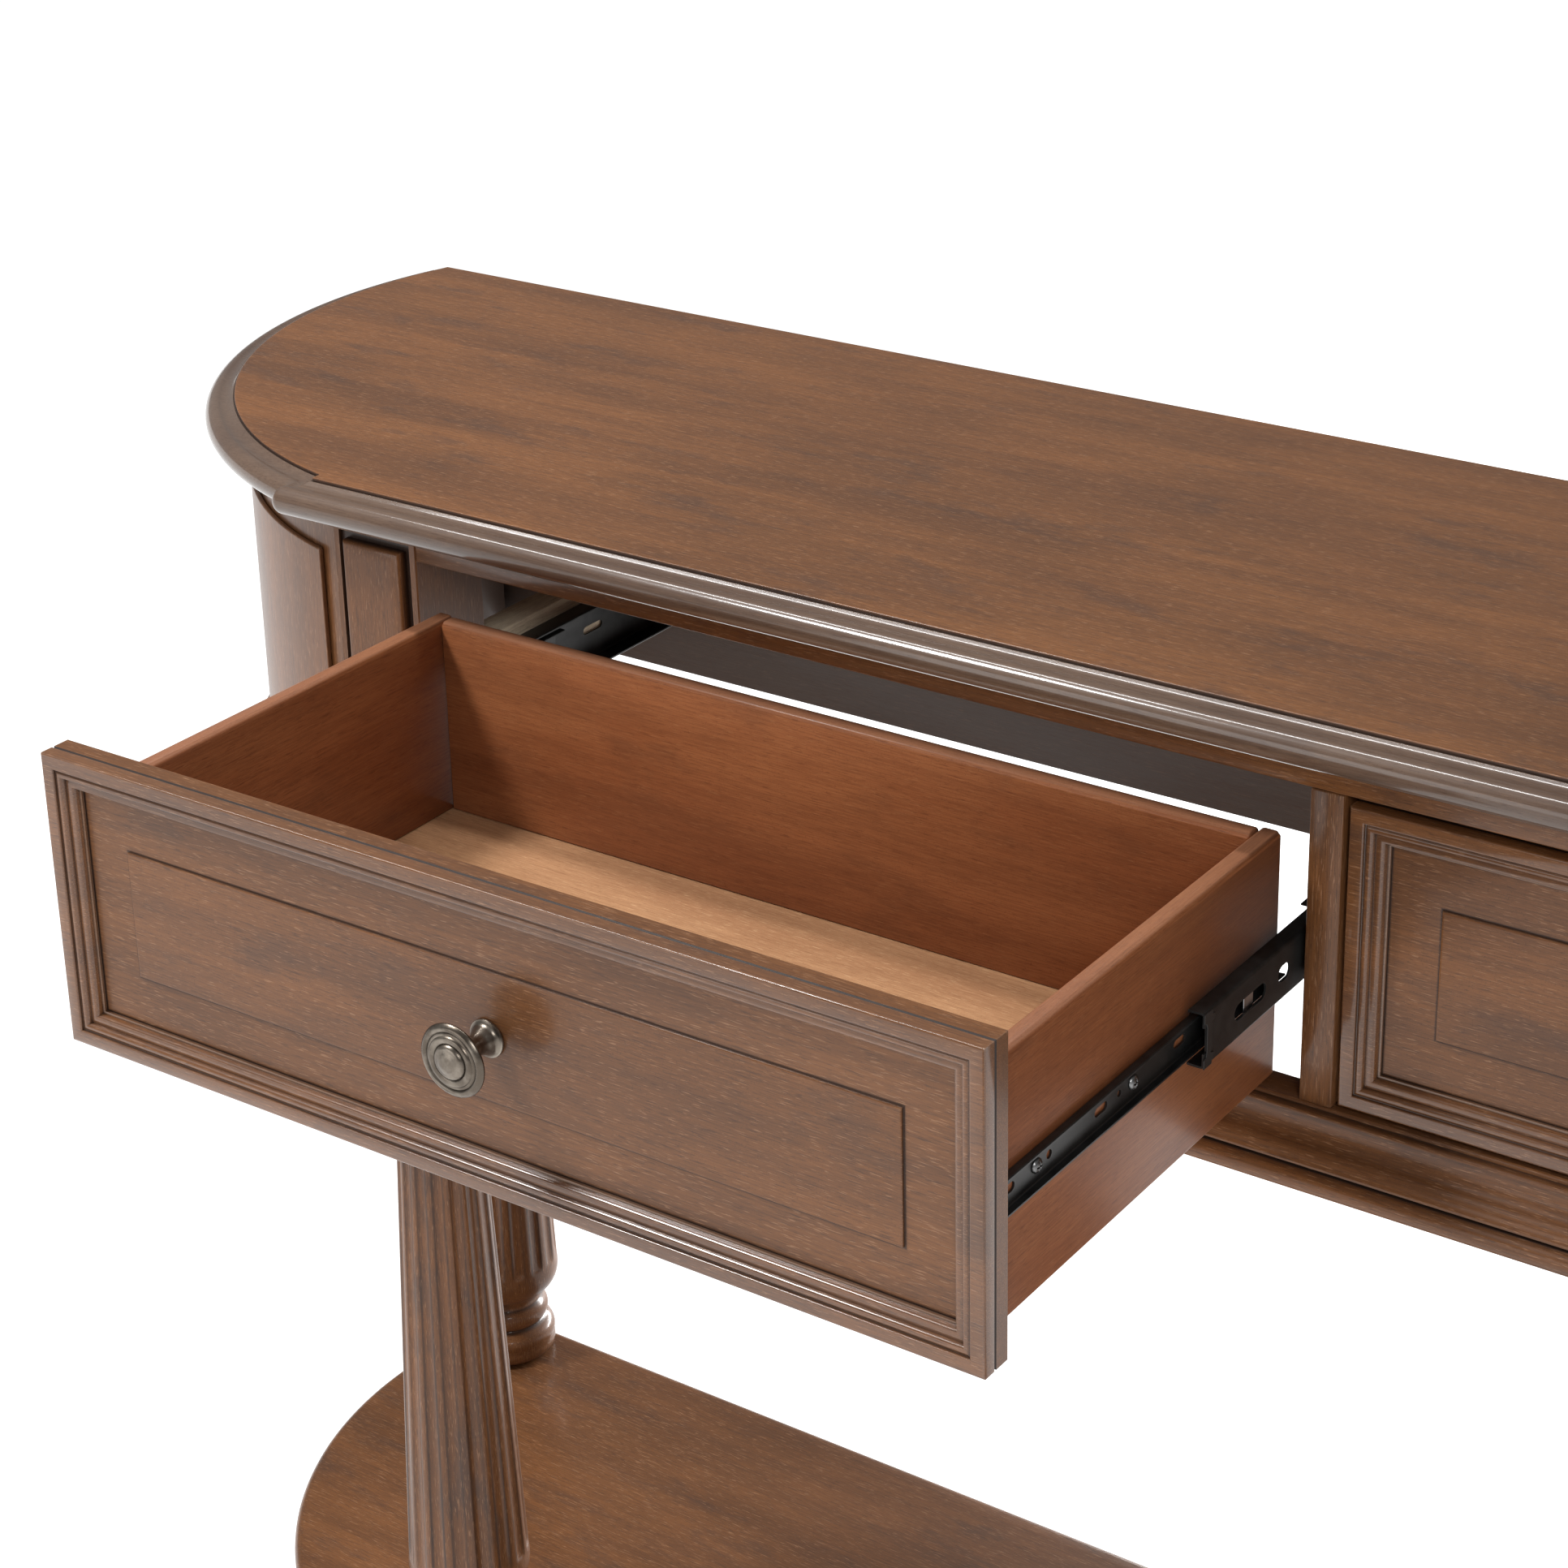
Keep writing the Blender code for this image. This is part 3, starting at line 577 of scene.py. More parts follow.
def loft(
    rings: Sequence[tuple[Sequence[Point3], float]], closed: bool = True, looped: bool = False
) -> bmesh.types.BMesh:
    """Joins rings of equal length, each with its glazing and painted shade.

    Args:
        rings: The points of each ring and the glazing and painted shade there.
        closed: Whether each ring's last point joins its first.
        looped: Whether the last ring joins the first.

    Returns:
        A closed mesh with a glazing and painted shade value at every point.
    """
    bm = bmesh.new()
    layer = bm.verts.layers.float.new("glaze")
    rows = []
    for points, glaze in rings:
        row = [bm.verts.new(point) for point in points]
        for vert in row:
            vert[layer] = glaze
        rows.append(row)
    pairs = list(zip(rows, rows[1:])) + ([(rows[-1], rows[0])] if looped else [])
    for low, high in pairs:
        count = len(low)
        for i in range(count if closed else count - 1):
            j = (i + 1) % count
            bm.faces.new((low[i], low[j], high[j], high[i]))
    if not looped:
        bm.faces.new(rows[0])
        bm.faces.new(rows[-1])
    if not closed:
        bm.faces.new([row[0] for row in rows] + [row[-1] for row in reversed(rows)])
    return bm


def lathe(section: Section, steps: int = 64) -> bmesh.types.BMesh:
    """Turns a section of (radius, height) points, which starts and ends on the axis.

    Args:
        section: The outline to turn about Z.
        steps: The points of each ring.

    Returns:
        A closed mesh with the section's glazing and painted shade.
    """
    bm = bmesh.new()
    layer = bm.verts.layers.float.new("glaze")
    rows = []
    full = math.tau * (1 - 1 / steps)
    for radius, height, glaze in section.points:
        ring = arc((0, 0), radius, 0, full, steps - 1) if radius > MERGE else [(0, 0)]
        row = [bm.verts.new((*point, height)) for point in ring]
        for vert in row:
            vert[layer] = glaze
        rows.append(row)
    for low, high in zip(rows, rows[1:]):
        for i in range(steps if len(low) > 1 or len(high) > 1 else 0):
            corners = [low[i % len(low)], low[(i + 1) % len(low)]]
            corners += [high[(i + 1) % len(high)], high[i % len(high)]]
            bm.faces.new(list(dict.fromkeys(corners)))
    return bm


def solid(bm: bmesh.types.BMesh, name: str, sharp_degrees: float = 35.0) -> bpy.types.Object:
    """Makes an object of a mesh, with its faces outwards and smooth up to an angle.

    Args:
        bm: The mesh, which is used up.
        name: The object's name.
        sharp_degrees: The angle from which an edge is sharp.

    Returns:
        The new object.
    """
    bmesh.ops.remove_doubles(bm, verts=bm.verts, dist=MERGE)
    bmesh.ops.recalc_face_normals(bm, faces=bm.faces)
    mesh = bpy.data.meshes.new(name)
    bm.to_mesh(mesh)
    bm.free()
    mesh.shade_smooth()
    mesh.set_sharp_from_angle(angle=math.radians(sharp_degrees))
    obj = bpy.data.objects.new(name, mesh)
    bpy.context.scene.collection.objects.link(obj)
    return obj


def baked(obj: bpy.types.Object) -> bpy.types.Object:
    """Turns an object's modifiers into plain mesh.

    Args:
        obj: The object to change.

    Returns:
        The same object without its modifiers.
    """
    bpy.context.view_layer.update()
    evaluated = obj.evaluated_get(bpy.context.evaluated_depsgraph_get())
    mesh = bpy.data.meshes.new_from_object(evaluated)
    obj.modifiers.clear()
    obj.data = mesh
    return obj


def eased(obj: bpy.types.Object, width: float, segments: int = 2) -> bpy.types.Object:
    """Rounds an object's sharp edges.

    Args:
        obj: The object to change.
        width: The width of the rounding.
        segments: The steps of each rounding.

    Returns:
        The same object.
    """
    bevel = obj.modifiers.new("Eased edges", "BEVEL")
    bevel.width = width
    bevel.segments = segments
    bevel.limit_method = "ANGLE"
    bevel.angle_limit = math.radians(40)
    bevel.harden_normals = True
    return baked(obj)


def block(low: Point3, high: Point3) -> bmesh.types.BMesh:
    """A box between two corners.

    Args:
        low: The corner with the least coordinates.
        high: The opposite corner.

    Returns:
        The box.
    """
    bm = bmesh.new()
    size = [b - a for a, b in zip(low, high)]
    middle = [(a + b) / 2 for a, b in zip(low, high)]
    bmesh.ops.create_cube(bm, size=1, matrix=Matrix.LocRotScale(middle, None, size))
    return bm


def cut(obj: bpy.types.Object, tools: Iterable[bmesh.types.BMesh]) -> bpy.types.Object:
    """Cuts closed shapes out of an object.

    Args:
        obj: The object to cut.
        tools: The shapes, which are used up.

    Returns:
        The same object.
    """
    for number, tool in enumerate(tools):
        cutter = solid(tool, f"cutter_{number}")
        modifier = obj.modifiers.new("Cut", "BOOLEAN")
        modifier.operation = "DIFFERENCE"
        modifier.solver = "EXACT"
        modifier.object = cutter
        baked(obj)
        bpy.data.objects.remove(cutter)
    return obj


def settle(
    obj: bpy.types.Object, finish: bpy.types.Material, body: str, slot: str, *nodes: str
) -> bpy.types.Object:
    """Dresses a piece, has it ride on a body and stand for CAD nodes.

    Args:
        obj: The finished piece.
        finish: Its material.
        body: The body it rides on.
        slot: The name of its material slot; not used.
        nodes: The plain nodes that it replaces.

    Returns:
        The same piece.
    """
    obj.data.materials.clear()
    obj.data.materials.append(finish)
    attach(obj, body)
    if nodes:
        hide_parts(*nodes)
    LOG.info("%s: %d faces on %s", obj.name, len(obj.data.polygons), body)
    return obj


def rub_top(obj: bpy.types.Object, depth: float) -> None:
    """Marks the points near the top of a piece as worn.

    Args:
        obj: The piece to mark.
        depth: How far down the mark goes.
    """
    heights = [vert.co.z for vert in obj.data.vertices]
    worn = obj.data.attributes.new("worn", "FLOAT", "POINT")
    worn.data.foreach_set("value", [float(z > max(heights) - depth) for z in heights])


def rounded_copy(node: str, width: float) -> bpy.types.Object:
    """A copy of a plain CAD node with its edges eased.

    Args:
        node: The node's name.
        width: The width of the rounding.

    Returns:
        The copy.
    """
    bm = bmesh.new()
    bm.from_mesh(bpy.data.objects[node].data)
    bmesh.ops.remove_doubles(bm, verts=bm.verts, dist=MERGE)
    flat = math.radians(1)
    bmesh.ops.dissolve_limit(bm, angle_limit=flat, verts=bm.verts, edges=bm.edges)
    obj = eased(solid(bm, f"{node}_board"), width)
    obj.data.set_sharp_from_angle(angle=math.radians(60))
    return obj


# ------------------------------------------------------------------ the frame's sizes
@dataclass(frozen=True)
class Plan:
    """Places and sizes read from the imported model, and the radii that boxes don't show."""

    end_radius: float = 0.271
    end_centre_back: float = 0.074
    case_inset: float = 0.025
    break_beyond_post: float = 0.0176
    arc_steps: int = 72

    @property
    def top(self) -> tuple[Vector, Vector]:
        """The corners of the top board's box."""
        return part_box("top_board")

    @property
    def case_front(self) -> float:
        """Y of the front face of the rails."""
        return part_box("front_bottom_rail")[0].y

    @property
    def end_centre(self) -> Point2:
        """Centre of the left rounded end."""
        low, high = self.top
        return low.x + self.end_radius, high.y - self.end_centre_back

    @property
    def break_half(self) -> float:
        """Half the length of the forward section of the top."""
        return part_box("front_post_right")[1].x + self.break_beyond_post

    def end_path(self, radius: float, front_x: float, back_y: float) -> list[Point2]:
        """The left end in plan, from the back round to front_x, which is positive.

        Args:
            radius: The radius of the rounded end.
            front_x: Where the path stops, from the middle.
            back_y: Y at the back, where it starts.

        Returns:
            The points of the path.
        """
        centre_x, centre_y = self.end_centre
        back = math.pi - math.asin((back_y - centre_y) / radius)
        front = math.pi + math.acos((front_x + centre_x) / radius)
        return arc(self.end_centre, radius, back, front, self.arc_steps)


# ------------------------------------------------------------------ top
@dataclass
class TopBoard:
    """The top with its moulded edge."""

    plan: Plan
    palette: Palette
    nose: float = 0.00775
    flat_inset: float = 0.0166
    step: float = 0.0016
    break_radius: float = 0.006

    def edge(self) -> Section:
        """(inset, height) from the underside out round the nose and up to the flat.

        Returns:
            The section.
        """
        low, high = self.plan.top
        middle = low.z + self.nose
        # Glaze values paint shade: 0.6 under the nose, and 1.0 and 0.8 in the step down to the flat,
        # where its shadow falls
        section = Section(self.nose + 0.004, low.z, 0.6)
        section.round(self.nose, middle, self.nose, 270, 95, 20)
        rest = high.z - self.step - 0.0004
        section.bow(self.flat_inset - 0.0013, rest, -0.16, 8)
        section.bow(self.flat_inset - 0.0004, rest - 0.0001, 0.3, 3)
        section.line(self.flat_inset, rest - 0.0001, 1.0).line(self.flat_inset, high.z - 0.0006, 0.8)
        return section.bow(self.flat_inset + 0.0006, high.z, 0.2, 3).line(self.flat_inset + 0.002, high.z)

    def outline(self, inset: float) -> list[Point2]:
        """The top's outline in plan without its back edge.

        Args:
            inset: How far it stands inside the largest outline.

        Returns:
            The points from left to right.
        """
        low, high = self.plan.top
        step_x = self.plan.break_half - inset
        front = low.y + inset
        corner = max(self.break_radius - inset, 0.0008)
        path = self.plan.end_path(self.plan.end_radius - inset, step_x, high.y)
        path += arc((corner - step_x, front + corner), corner, math.pi, 1.5 * math.pi, 5)
        return path + [(-x, y) for x, y in reversed(path)]

    def build(self) -> None:
        """Makes the board."""
        rings = [
            ([(x, y, z) for x, y in self.outline(inset)], glaze)
            for inset, z, glaze in self.edge().points
        ]
        board = solid(loft(rings, closed=False), "top_board_moulded", 40)
        settle(board, self.palette.top, "table", "walnut_stain", "top_board")
        # The moulded edge below the flat takes the nose finish, whose greyer body paints part of its
        # lacquer's sheen
        board.data.materials.append(self.palette.nose)
        flat = self.plan.top[1].z - self.step
        for face in board.data.polygons:
            face.material_index = int(face.center.z < flat)


# ------------------------------------------------------------------ case
@dataclass
class Case:
    """Rails, divider, back, posts, rounded ends and base moulding."""

    plan: Plan
    palette: Palette
    post_rim: float = 0.0040
    post_recess: float = 0.0022
    block_rise: float = 0.0045
    block_bevel: float = 0.0072
    block_gap: float = 0.0043
    block_above_frame: float = 0.0115
    block_over_frame: float = 0.008
    apron_thickness: float = 0.012
    overlay_thickness: float = 0.003

    def build(self) -> None:
        """Makes every piece of the case."""
        boards = {
            "front_top_rail": self.palette.rail,
            "front_bottom_rail": self.palette.rail,
            "centre_divider": self.palette.post,
            "back_board": self.palette.inner,
        }
        for node, finish in boards.items():
            settle(rounded_copy(node, 0.0007), finish, "table", "walnut_stain", node)
        self.front_moulding()
        for side in Side:
            self.end_moulding(side)
            self.curved_board(side, "end_apron", self.apron_thickness, 0.0008)
            self.curved_board(side, "end_overlay", self.overlay_thickness, 0.0009)
            self.front_post(side)
            back = f"back_post_{side.word}"
            settle(rounded_copy(back, 0.0010), self.palette.inner, "table", "walnut_stain", back)
            cleat = f"slide_cleat_{side.word}"
            settle(rounded_copy(cleat, 0.0006), self.palette.raw, "table", "raw_wood", cleat)

    def base_section(self) -> Section:
        """(distance out, height) of the base moulding: fillet, ogee, groove and bead.

        Returns:
            The section.
        """
        low, high = (corner.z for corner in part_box("base_moulding_front"))
        # Glaze values paint shade at the joint with the rail, under the fillet, in the groove before the
        # bead and at the bottom
        section = Section(0.0003, high, 0.9).line(0.0040, high)
        section.bow(0.0052, high - 0.0012, 0.2, 3).line(0.0054, high - 0.0022, 0.5)
        section.bow(0.0098, high - 0.0125, -0.14, 7).bow(0.0160, high - 0.0188, 0.14, 6)
        section.bow(0.0166, high - 0.0206, 0.2, 3).line(0.0146, high - 0.0222, 1.0)
        section.line(0.0158, high - 0.0226, 1.0)
        bead = (high - 0.0226 - low) / 2
        section.round(0.0208 - bead, low + bead, bead, 85, -90, 12)
        return section.line(0.0003, low, 0.5)

    def front_moulding(self) -> None:
        """The straight length under the front rail."""
        low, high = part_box("base_moulding_front")
        rings = []
        section = self.base_section().points
        for x in (low.x, high.x):
            rings.append(([(x, self.plan.case_front - out, z) for out, z, _ in section], 0.0))
        bm = loft(rings)
        self._spread_glaze(bm)
        piece = solid(bm, "base_moulding_front_run", 30)
        settle(piece, self.palette.rail, "table", "walnut_stain", "base_moulding_front")

    def _spread_glaze(self, bm: bmesh.types.BMesh) -> None:
        """Gives each point of a swept moulding the glazing and painted shade of its place in the section.

        Args:
            bm: The swept mesh, whose points go round the section in order.
        """
        layer = bm.verts.layers.float["glaze"]
        glaze_and_shade_values = [glaze for _, _, glaze in self.base_section().points]
        bm.verts.ensure_lookup_table()
        for index, vert in enumerate(bm.verts):
            vert[layer] = glaze_and_shade_values[index % len(glaze_and_shade_values)]

    def end_moulding(self, side: Side) -> None:
        """The length that wraps one rounded end.

        Args:
            side: The end of the table.
        """
        node = f"base_moulding_{side.word}"
        low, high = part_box(node)
        front_x = min(abs(low.x), abs(high.x))
        radius = self.plan.end_radius - self.plan.case_inset
        rows = []
        for out, z, _ in self.base_section().points:
            path = self.plan.end_path(radius + out, front_x, high.y)
            rows.append([(-side.value * x, y, z) for x, y in path])
        bm = loft([(list(ring), 0.0) for ring in zip(*rows)])
        self._spread_glaze(bm)
        settle(solid(bm, f"{node}_run", 30), self.palette.rail, "table", "walnut_stain", node)

    def curved_board(self, side: Side, kind: str, thickness: float, ease: float) -> None:
        """A board bent round one end: the apron or the thin panel over it.

        Args:
            side: The end of the table.
            kind: The start of the node's name.
            thickness: The board's thickness.
            ease: The rounding of its edges.
        """
        node = f"{kind}_{side.word}"
        low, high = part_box(node)
        front_x = min(abs(low.x), abs(high.x))
        reach = max(abs(low.x), abs(high.x))
        outer = reach + self.plan.end_centre[0]
        path = self.plan.end_path(outer, front_x, high.y)
        path += self.plan.end_path(outer - thickness, front_x, high.y)[::-1]
        outline = [(-side.value * x, y) for x, y in path]
        rings = [([(x, y, z) for x, y in outline], 0.0) for z in (low.z, high.z)]
        piece = eased(solid(loft(rings), f"{node}_bent", 60), ease)
        settle(piece, self.palette.post, "table", "walnut_stain", node)

    def front_post(self, side: Side) -> None:
        """A post whose face holds a rim, a recess darkened with glazing and painted shade, and a raised,
        rounded block.

        Args:
            side: The end of the table.
        """
        node = f"front_post_{side.word}"
        low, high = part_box(node)
        face = self.plan.case_front
        middle, half = (low.x + high.x) / 2, (high.x - low.x) / 2
        drawer_low, drawer_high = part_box("drawer_right_frame")
        block_low = drawer_low.z + self.block_above_frame
        block_high = drawer_high.z + self.block_over_frame
        rim, gap, ease = half - self.post_rim, self.block_gap, 0.0006
        block = rim - gap
        floor = face + self.post_recess
        rings = [self._rect(middle, half, low.z, high.z, high.y, 0.0)]
        rings.append(self._rect(middle, half, low.z, high.z, face + ease, 0.0))
        rings.append(self._rect(middle, half - ease, low.z + ease, high.z - ease, face, 0.0))
        rings.append(self._rect(middle, rim, block_low - gap, block_high + gap, face, 0.0))
        # Glaze 0.9 on the recess floor: painted shade in the recess round the block
        rings.append(self._rect(middle, rim - ease, block_low - gap, block_high + gap, floor, 0.9))
        rings.append(self._rect(middle, block, block_low, block_high, floor, 0.9))
        steps = 7
        for i in range(steps + 1):
            angle = math.pi / 2 * i / steps
            inset = self.block_bevel * (1 - math.cos(angle))
            rise = face - self.block_rise * (0.35 + 0.65 * math.sin(angle))
            box = (block - inset, block_low + inset, block_high - inset)
            rings.append(self._rect(middle, *box, rise, 0.0))
        piece = solid(loft(rings), f"{node}_panelled", 32)
        settle(piece, self.palette.post, "table", "walnut_stain", node)

    @staticmethod
    def _rect(
        x: float, half: float, low: float, high: float, y: float, glaze: float
    ) -> tuple[list[Point3], float]:
        """A ring of four points in a plane that faces the front.

        Args:
            x: The middle of the ring.
            half: Half its width.
            low: Its bottom.
            high: Its top.
            y: The place of the plane.
            glaze: The glazing and painted shade at its points.

        Returns:
            The ring and its glazing and painted shade.
        """
        corners = ((-half, low), (half, low), (half, high), (-half, high))
        return [(x + u, y, z) for u, z in corners], glaze


# ------------------------------------------------------------------ legs, shelf and feet
class PieceTree:
    """A geometry tree with named inputs, which is run on an object and then made plain mesh."""

    def __init__(self, name: str, inputs: Sequence[tuple[str, str, Any]]) -> None:
        """Makes the tree with its inputs.

        Args:
            name: The tree's name.
            inputs: The name, kind and value of each input besides the geometry.
        """
        self.name = name
        self.group = bpy.data.node_groups.new(name, "GeometryNodeTree")
        self.sockets: dict[str, str] = {}
        face = self.group.interface
        face.new_socket("Geometry", in_out="INPUT", socket_type="NodeSocketGeometry")
        for label, kind, value in inputs:
            socket = face.new_socket(label, in_out="INPUT", socket_type=kind)
            socket.default_value = value
            self.sockets[label] = socket.identifier
        face.new_socket("Geometry", in_out="OUTPUT", socket_type="NodeSocketGeometry")
        self.tree = NodeTree(self.group)
        self.given = self.tree.node("NodeGroupInput")

    def close(self, geometry: Wire, finish: bpy.types.Material) -> None:
        """Ends the tree: what was made becomes real mesh with a finish.

        Args:
            geometry: What the tree has made.
            finish: The material of the result.
        """
        real = self.tree.node("GeometryNodeRealizeInstances", None, {0: geometry}).out()
        dressed = {"Geometry": real, "Material": finish}
        dressed = self.tree.node("GeometryNodeSetMaterial", None, dressed).out()
        self.tree.node("NodeGroupOutput", None, {0: dressed})

    def run(self, obj: bpy.types.Object, values: dict[str, Any]) -> bpy.types.Object:
        """Runs the tree on an object.

        Args:
            obj: The object to change.
            values: The value of each input that isn't left as it is.

        Returns:
            The same object, with the result as plain mesh.
        """
        modifier = obj.modifiers.new(self.name, "NODES")
        modifier.node_group = self.group
        for label, value in values.items():
            modifier[self.sockets[label]] = value
        return baked(obj)


class FluteTree(PieceTree):
    """Geometry nodes that sink rounded flutes into a turned shaft."""

    def __init__(self, finish: bpy.types.Material) -> None:
        """Builds the tree."""
        count = ("Flute count", "NodeSocketInt", 16)
        share = ("Flute share", "NodeSocketFloat", 0.62)
        depth = ("Flute depth", "NodeSocketFloat", 0.0016)
        super().__init__("Flutes", (count, share, depth))
        tree, given = self.tree, self.given
        position = tree.node("GeometryNodeInputPosition").out()
        split = tree.node("ShaderNodeSeparateXYZ", None, {0: position})
        turns = split.out("Y").angle_to(split.out("X")) / math.tau + 1.0
        across = ((turns * given.out("Flute count")).fraction() - 0.5).absolute() * 2.0
        share = given.out("Flute share")
        bowl = (1.0 - (across / share) ** 2.0).at_least(0.0) ** 0.6
        reach = tree.node("GeometryNodeInputNamedAttribute", None, {"Name": "flute"}).out()
        depth = bowl * reach * given.out("Flute depth")
        flat = {"operation": "MULTIPLY"}
        outward = tree.node("ShaderNodeVectorMath", flat, {0: position, 1: (1, 1, 0)}).out()
        unit = tree.node("ShaderNodeVectorMath", {"operation": "NORMALIZE"}, {0: outward}).out()
        scale = {0: unit, "Scale": depth * -1.0}
        offset = tree.node("ShaderNodeVectorMath", {"operation": "SCALE"}, scale).out()
        moved = {"Geometry": given.out("Geometry"), "Offset": offset}
        moved = tree.node("GeometryNodeSetPosition", None, moved).out()
        # Painted shade: a dark line broken by noise at both lips of every flute, stored with the ring
        # values as the glaze attribute
        lip = across.between(0.48, 0.60) * across.between(0.72, 0.62) * reach
        stretch = tree.node("ShaderNodeVectorMath", flat, {0: position, 1: (70, 70, 9)}).out()
        lip = lip * (0.25 + 0.75 * tree.noise(stretch, 1.0, 3.0).between(0.36, 0.60))
        ringed = tree.node("GeometryNodeInputNamedAttribute", None, {"Name": "glaze"}).out()
        stored = {"Geometry": moved, "Name": "glaze", "Value": (lip * 0.9).at_least(ringed)}
        settings = {"data_type": "FLOAT", "domain": "POINT"}
        self.close(tree.node("GeometryNodeStoreNamedAttribute", settings, stored).out(), finish)


@dataclass
class Stand:
    """Four fluted legs, the shelf and the feet under it."""

    plan: Plan
    palette: Palette
    flutes: int = 16
    flute_foot: float = 0.072
    flute_head: float = 0.072
    flute_end: float = 0.010
    widest: float = 0.070
    radius_foot: float = 0.0352
    radius_head: float = 0.0198
    turning_steps: int = 160
    shelf_radius: float = 0.250
    shelf_forward: float = 0.038
    shelf_ease: float = 0.006

    def shaft(self, length: float) -> bmesh.types.BMesh:
        """A leg turned about Z, from the shelf's face up, with the reach of its flutes.

        Args:
            length: From the shelf's face to the top of the leg.

        Returns:
            The mesh, with its flute reach.
        """
        # Glaze values of 0.8 and 0.7 paint shade at the ends and in the hollows of the turned rings
        section = Section(0, 0.0004, 0.8).line(0.0250, 0.0004, 0.8)
        section.bow(0.0307, 0.0120, -0.24, 7).bow(0.0246, 0.0245, -0.24, 7, 0.8)
        section.line(0.0240, 0.0256, 0.8).bow(0.0232, 0.0405, -0.26, 8, 0.8)
        section.bow(0.0227, 0.0440, 0.16, 3).bow(0.0290, 0.0505, 0.14, 5)
        section.bow(self.radius_foot, self.widest, -0.13, 9)
        taper = (self.radius_foot - self.radius_head) / (length - 0.046 - self.widest)
        steps = 8
        rises = [self.flute_end * i / steps for i in range(steps + 1)]
        heights = [self.flute_foot + rise for rise in rises]
        heights += [length - self.flute_head - rise for rise in reversed(rises)]
        for z in heights:
            section.line(self.radius_foot - taper * max(0.0, z - self.widest), z)
        section.line(self.radius_head, length - 0.0465).line(0.0186, length - 0.0430, 0.8)
        section.bow(0.0186, length - 0.0220, -0.34, 8, 0.8)
        section.line(0.0190, length - 0.0200, 0.8).bow(0.0262, length - 0.0105, 0.18, 6)
        section.bow(0.0270, length - 0.0004, -0.30, 5, 0.7).line(0, length - 0.0004, 0.7)
        bm = lathe(section, self.turning_steps)
        reach = bm.verts.layers.float.new("flute")
        for vert in bm.verts:
            vert[reach] = self._reach(vert.co.z, length)
        return bm

    def _reach(self, z: float, length: float) -> float:
        """How deep the flutes are at a height, 0 to 1, with round ends.

        Args:
            z: The height above the shelf.
            length: The length of the leg.

        Returns:
            The share of the depth.
        """
        into = min(z - self.flute_foot, length - self.flute_head - z) / self.flute_end
        into = max(0.0, min(1.0, into))
        return math.sqrt(1 - (1 - into) ** 2)

    def build(self) -> None:
        """Makes the legs, the shelf and the feet, and dresses the bolts."""
        flutes = FluteTree(self.palette.leg)
        for depth in ("front", "back"):
            for side in Side:
                corner = f"{depth}_{side.word}"
                self.leg(corner, flutes)
                self.foot(corner)
        self.shelf()
        for depth in ("front", "back"):
            for side in Side:
                bolt = bpy.data.objects[f"leg_bolt_{depth}_{side.word}"]
                bolt.data.materials.clear()
                bolt.data.materials.append(self.palette.zinc)

    def leg(self, corner: str, flutes: FluteTree) -> None:
        """One leg, with the spigot that goes through the shelf left to the plain shape.

        Args:
            corner: The end of the node's name.
            flutes: The tree that sinks the flutes.
        """
        low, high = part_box(f"leg_{corner}")
        shelf_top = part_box("shelf")[1].z
        axis = (low + high) / 2
        leg = solid(self.shaft(high.z - shelf_top), f"leg_{corner}_fluted", 50)
        flutes.run(leg, {"Flute count": self.flutes})
        leg.data.transform(Matrix.Translation((axis.x, axis.y, shelf_top)))
        leg.data.set_sharp_from_angle(angle=math.radians(50))
        settle(leg, self.palette.leg, "table", "walnut_stain", f"leg_{corner}")

    def foot(self, corner: str) -> None:
        """One turned foot under the shelf.

        Args:
            corner: The end of the node's name.
        """
        low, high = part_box(f"foot_{corner}")
        axis = (low + high) / 2
        top = high.z - low.z
        # Glaze values paint shade under the foot, in the hollow of its neck and on its top
        section = Section(0, 0).line(0.0190, 0, 0.5).bow(0.0205, 0.0012, -0.2, 3)
        section.bow(0.0305, 0.0140, -0.18, 8).bow(0.0200, 0.0275, -0.24, 8, 0.9)
        section.line(0.0196, 0.0300, 0.9).bow(0.0252, top, -0.22, 8, 0.7).line(0, top)
        foot = solid(lathe(section), f"foot_{corner}_turned", 40)
        foot.data.transform(Matrix.Translation((axis.x, axis.y, low.z)))
        settle(foot, self.palette.leg, "table", "walnut_stain", f"foot_{corner}")

    def shelf(self) -> None:
        """The shelf with its rounded edge."""
        low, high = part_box("shelf")
        radius, ease = self.shelf_radius, self.shelf_ease
        centre = (low.x + radius, self.plan.end_centre[1] - self.shelf_forward)
        section = Section(ease * 2, low.z).round(ease, low.z + ease, ease, 270, 180, 5)
        section.round(ease, high.z - ease, ease, 180, 90, 5).line(ease * 2, high.z)
        rings = []
        for inset, z, glaze in section.points:
            back, front = high.y - inset, low.y + inset
            start = math.pi - math.asin((back - centre[1]) / (radius - inset))
            end = math.pi + math.asin((centre[1] - front) / (radius - inset))
            path = arc(centre, radius - inset, start, end, self.plan.arc_steps)
            path += [(-x, y) for x, y in reversed(path)]
            rings.append(([(x, y, z) for x, y in path], glaze))
        shelf = solid(loft(rings), "shelf_rounded", 40)
        settle(shelf, self.palette.shelf, "table", "walnut_stain", "shelf")


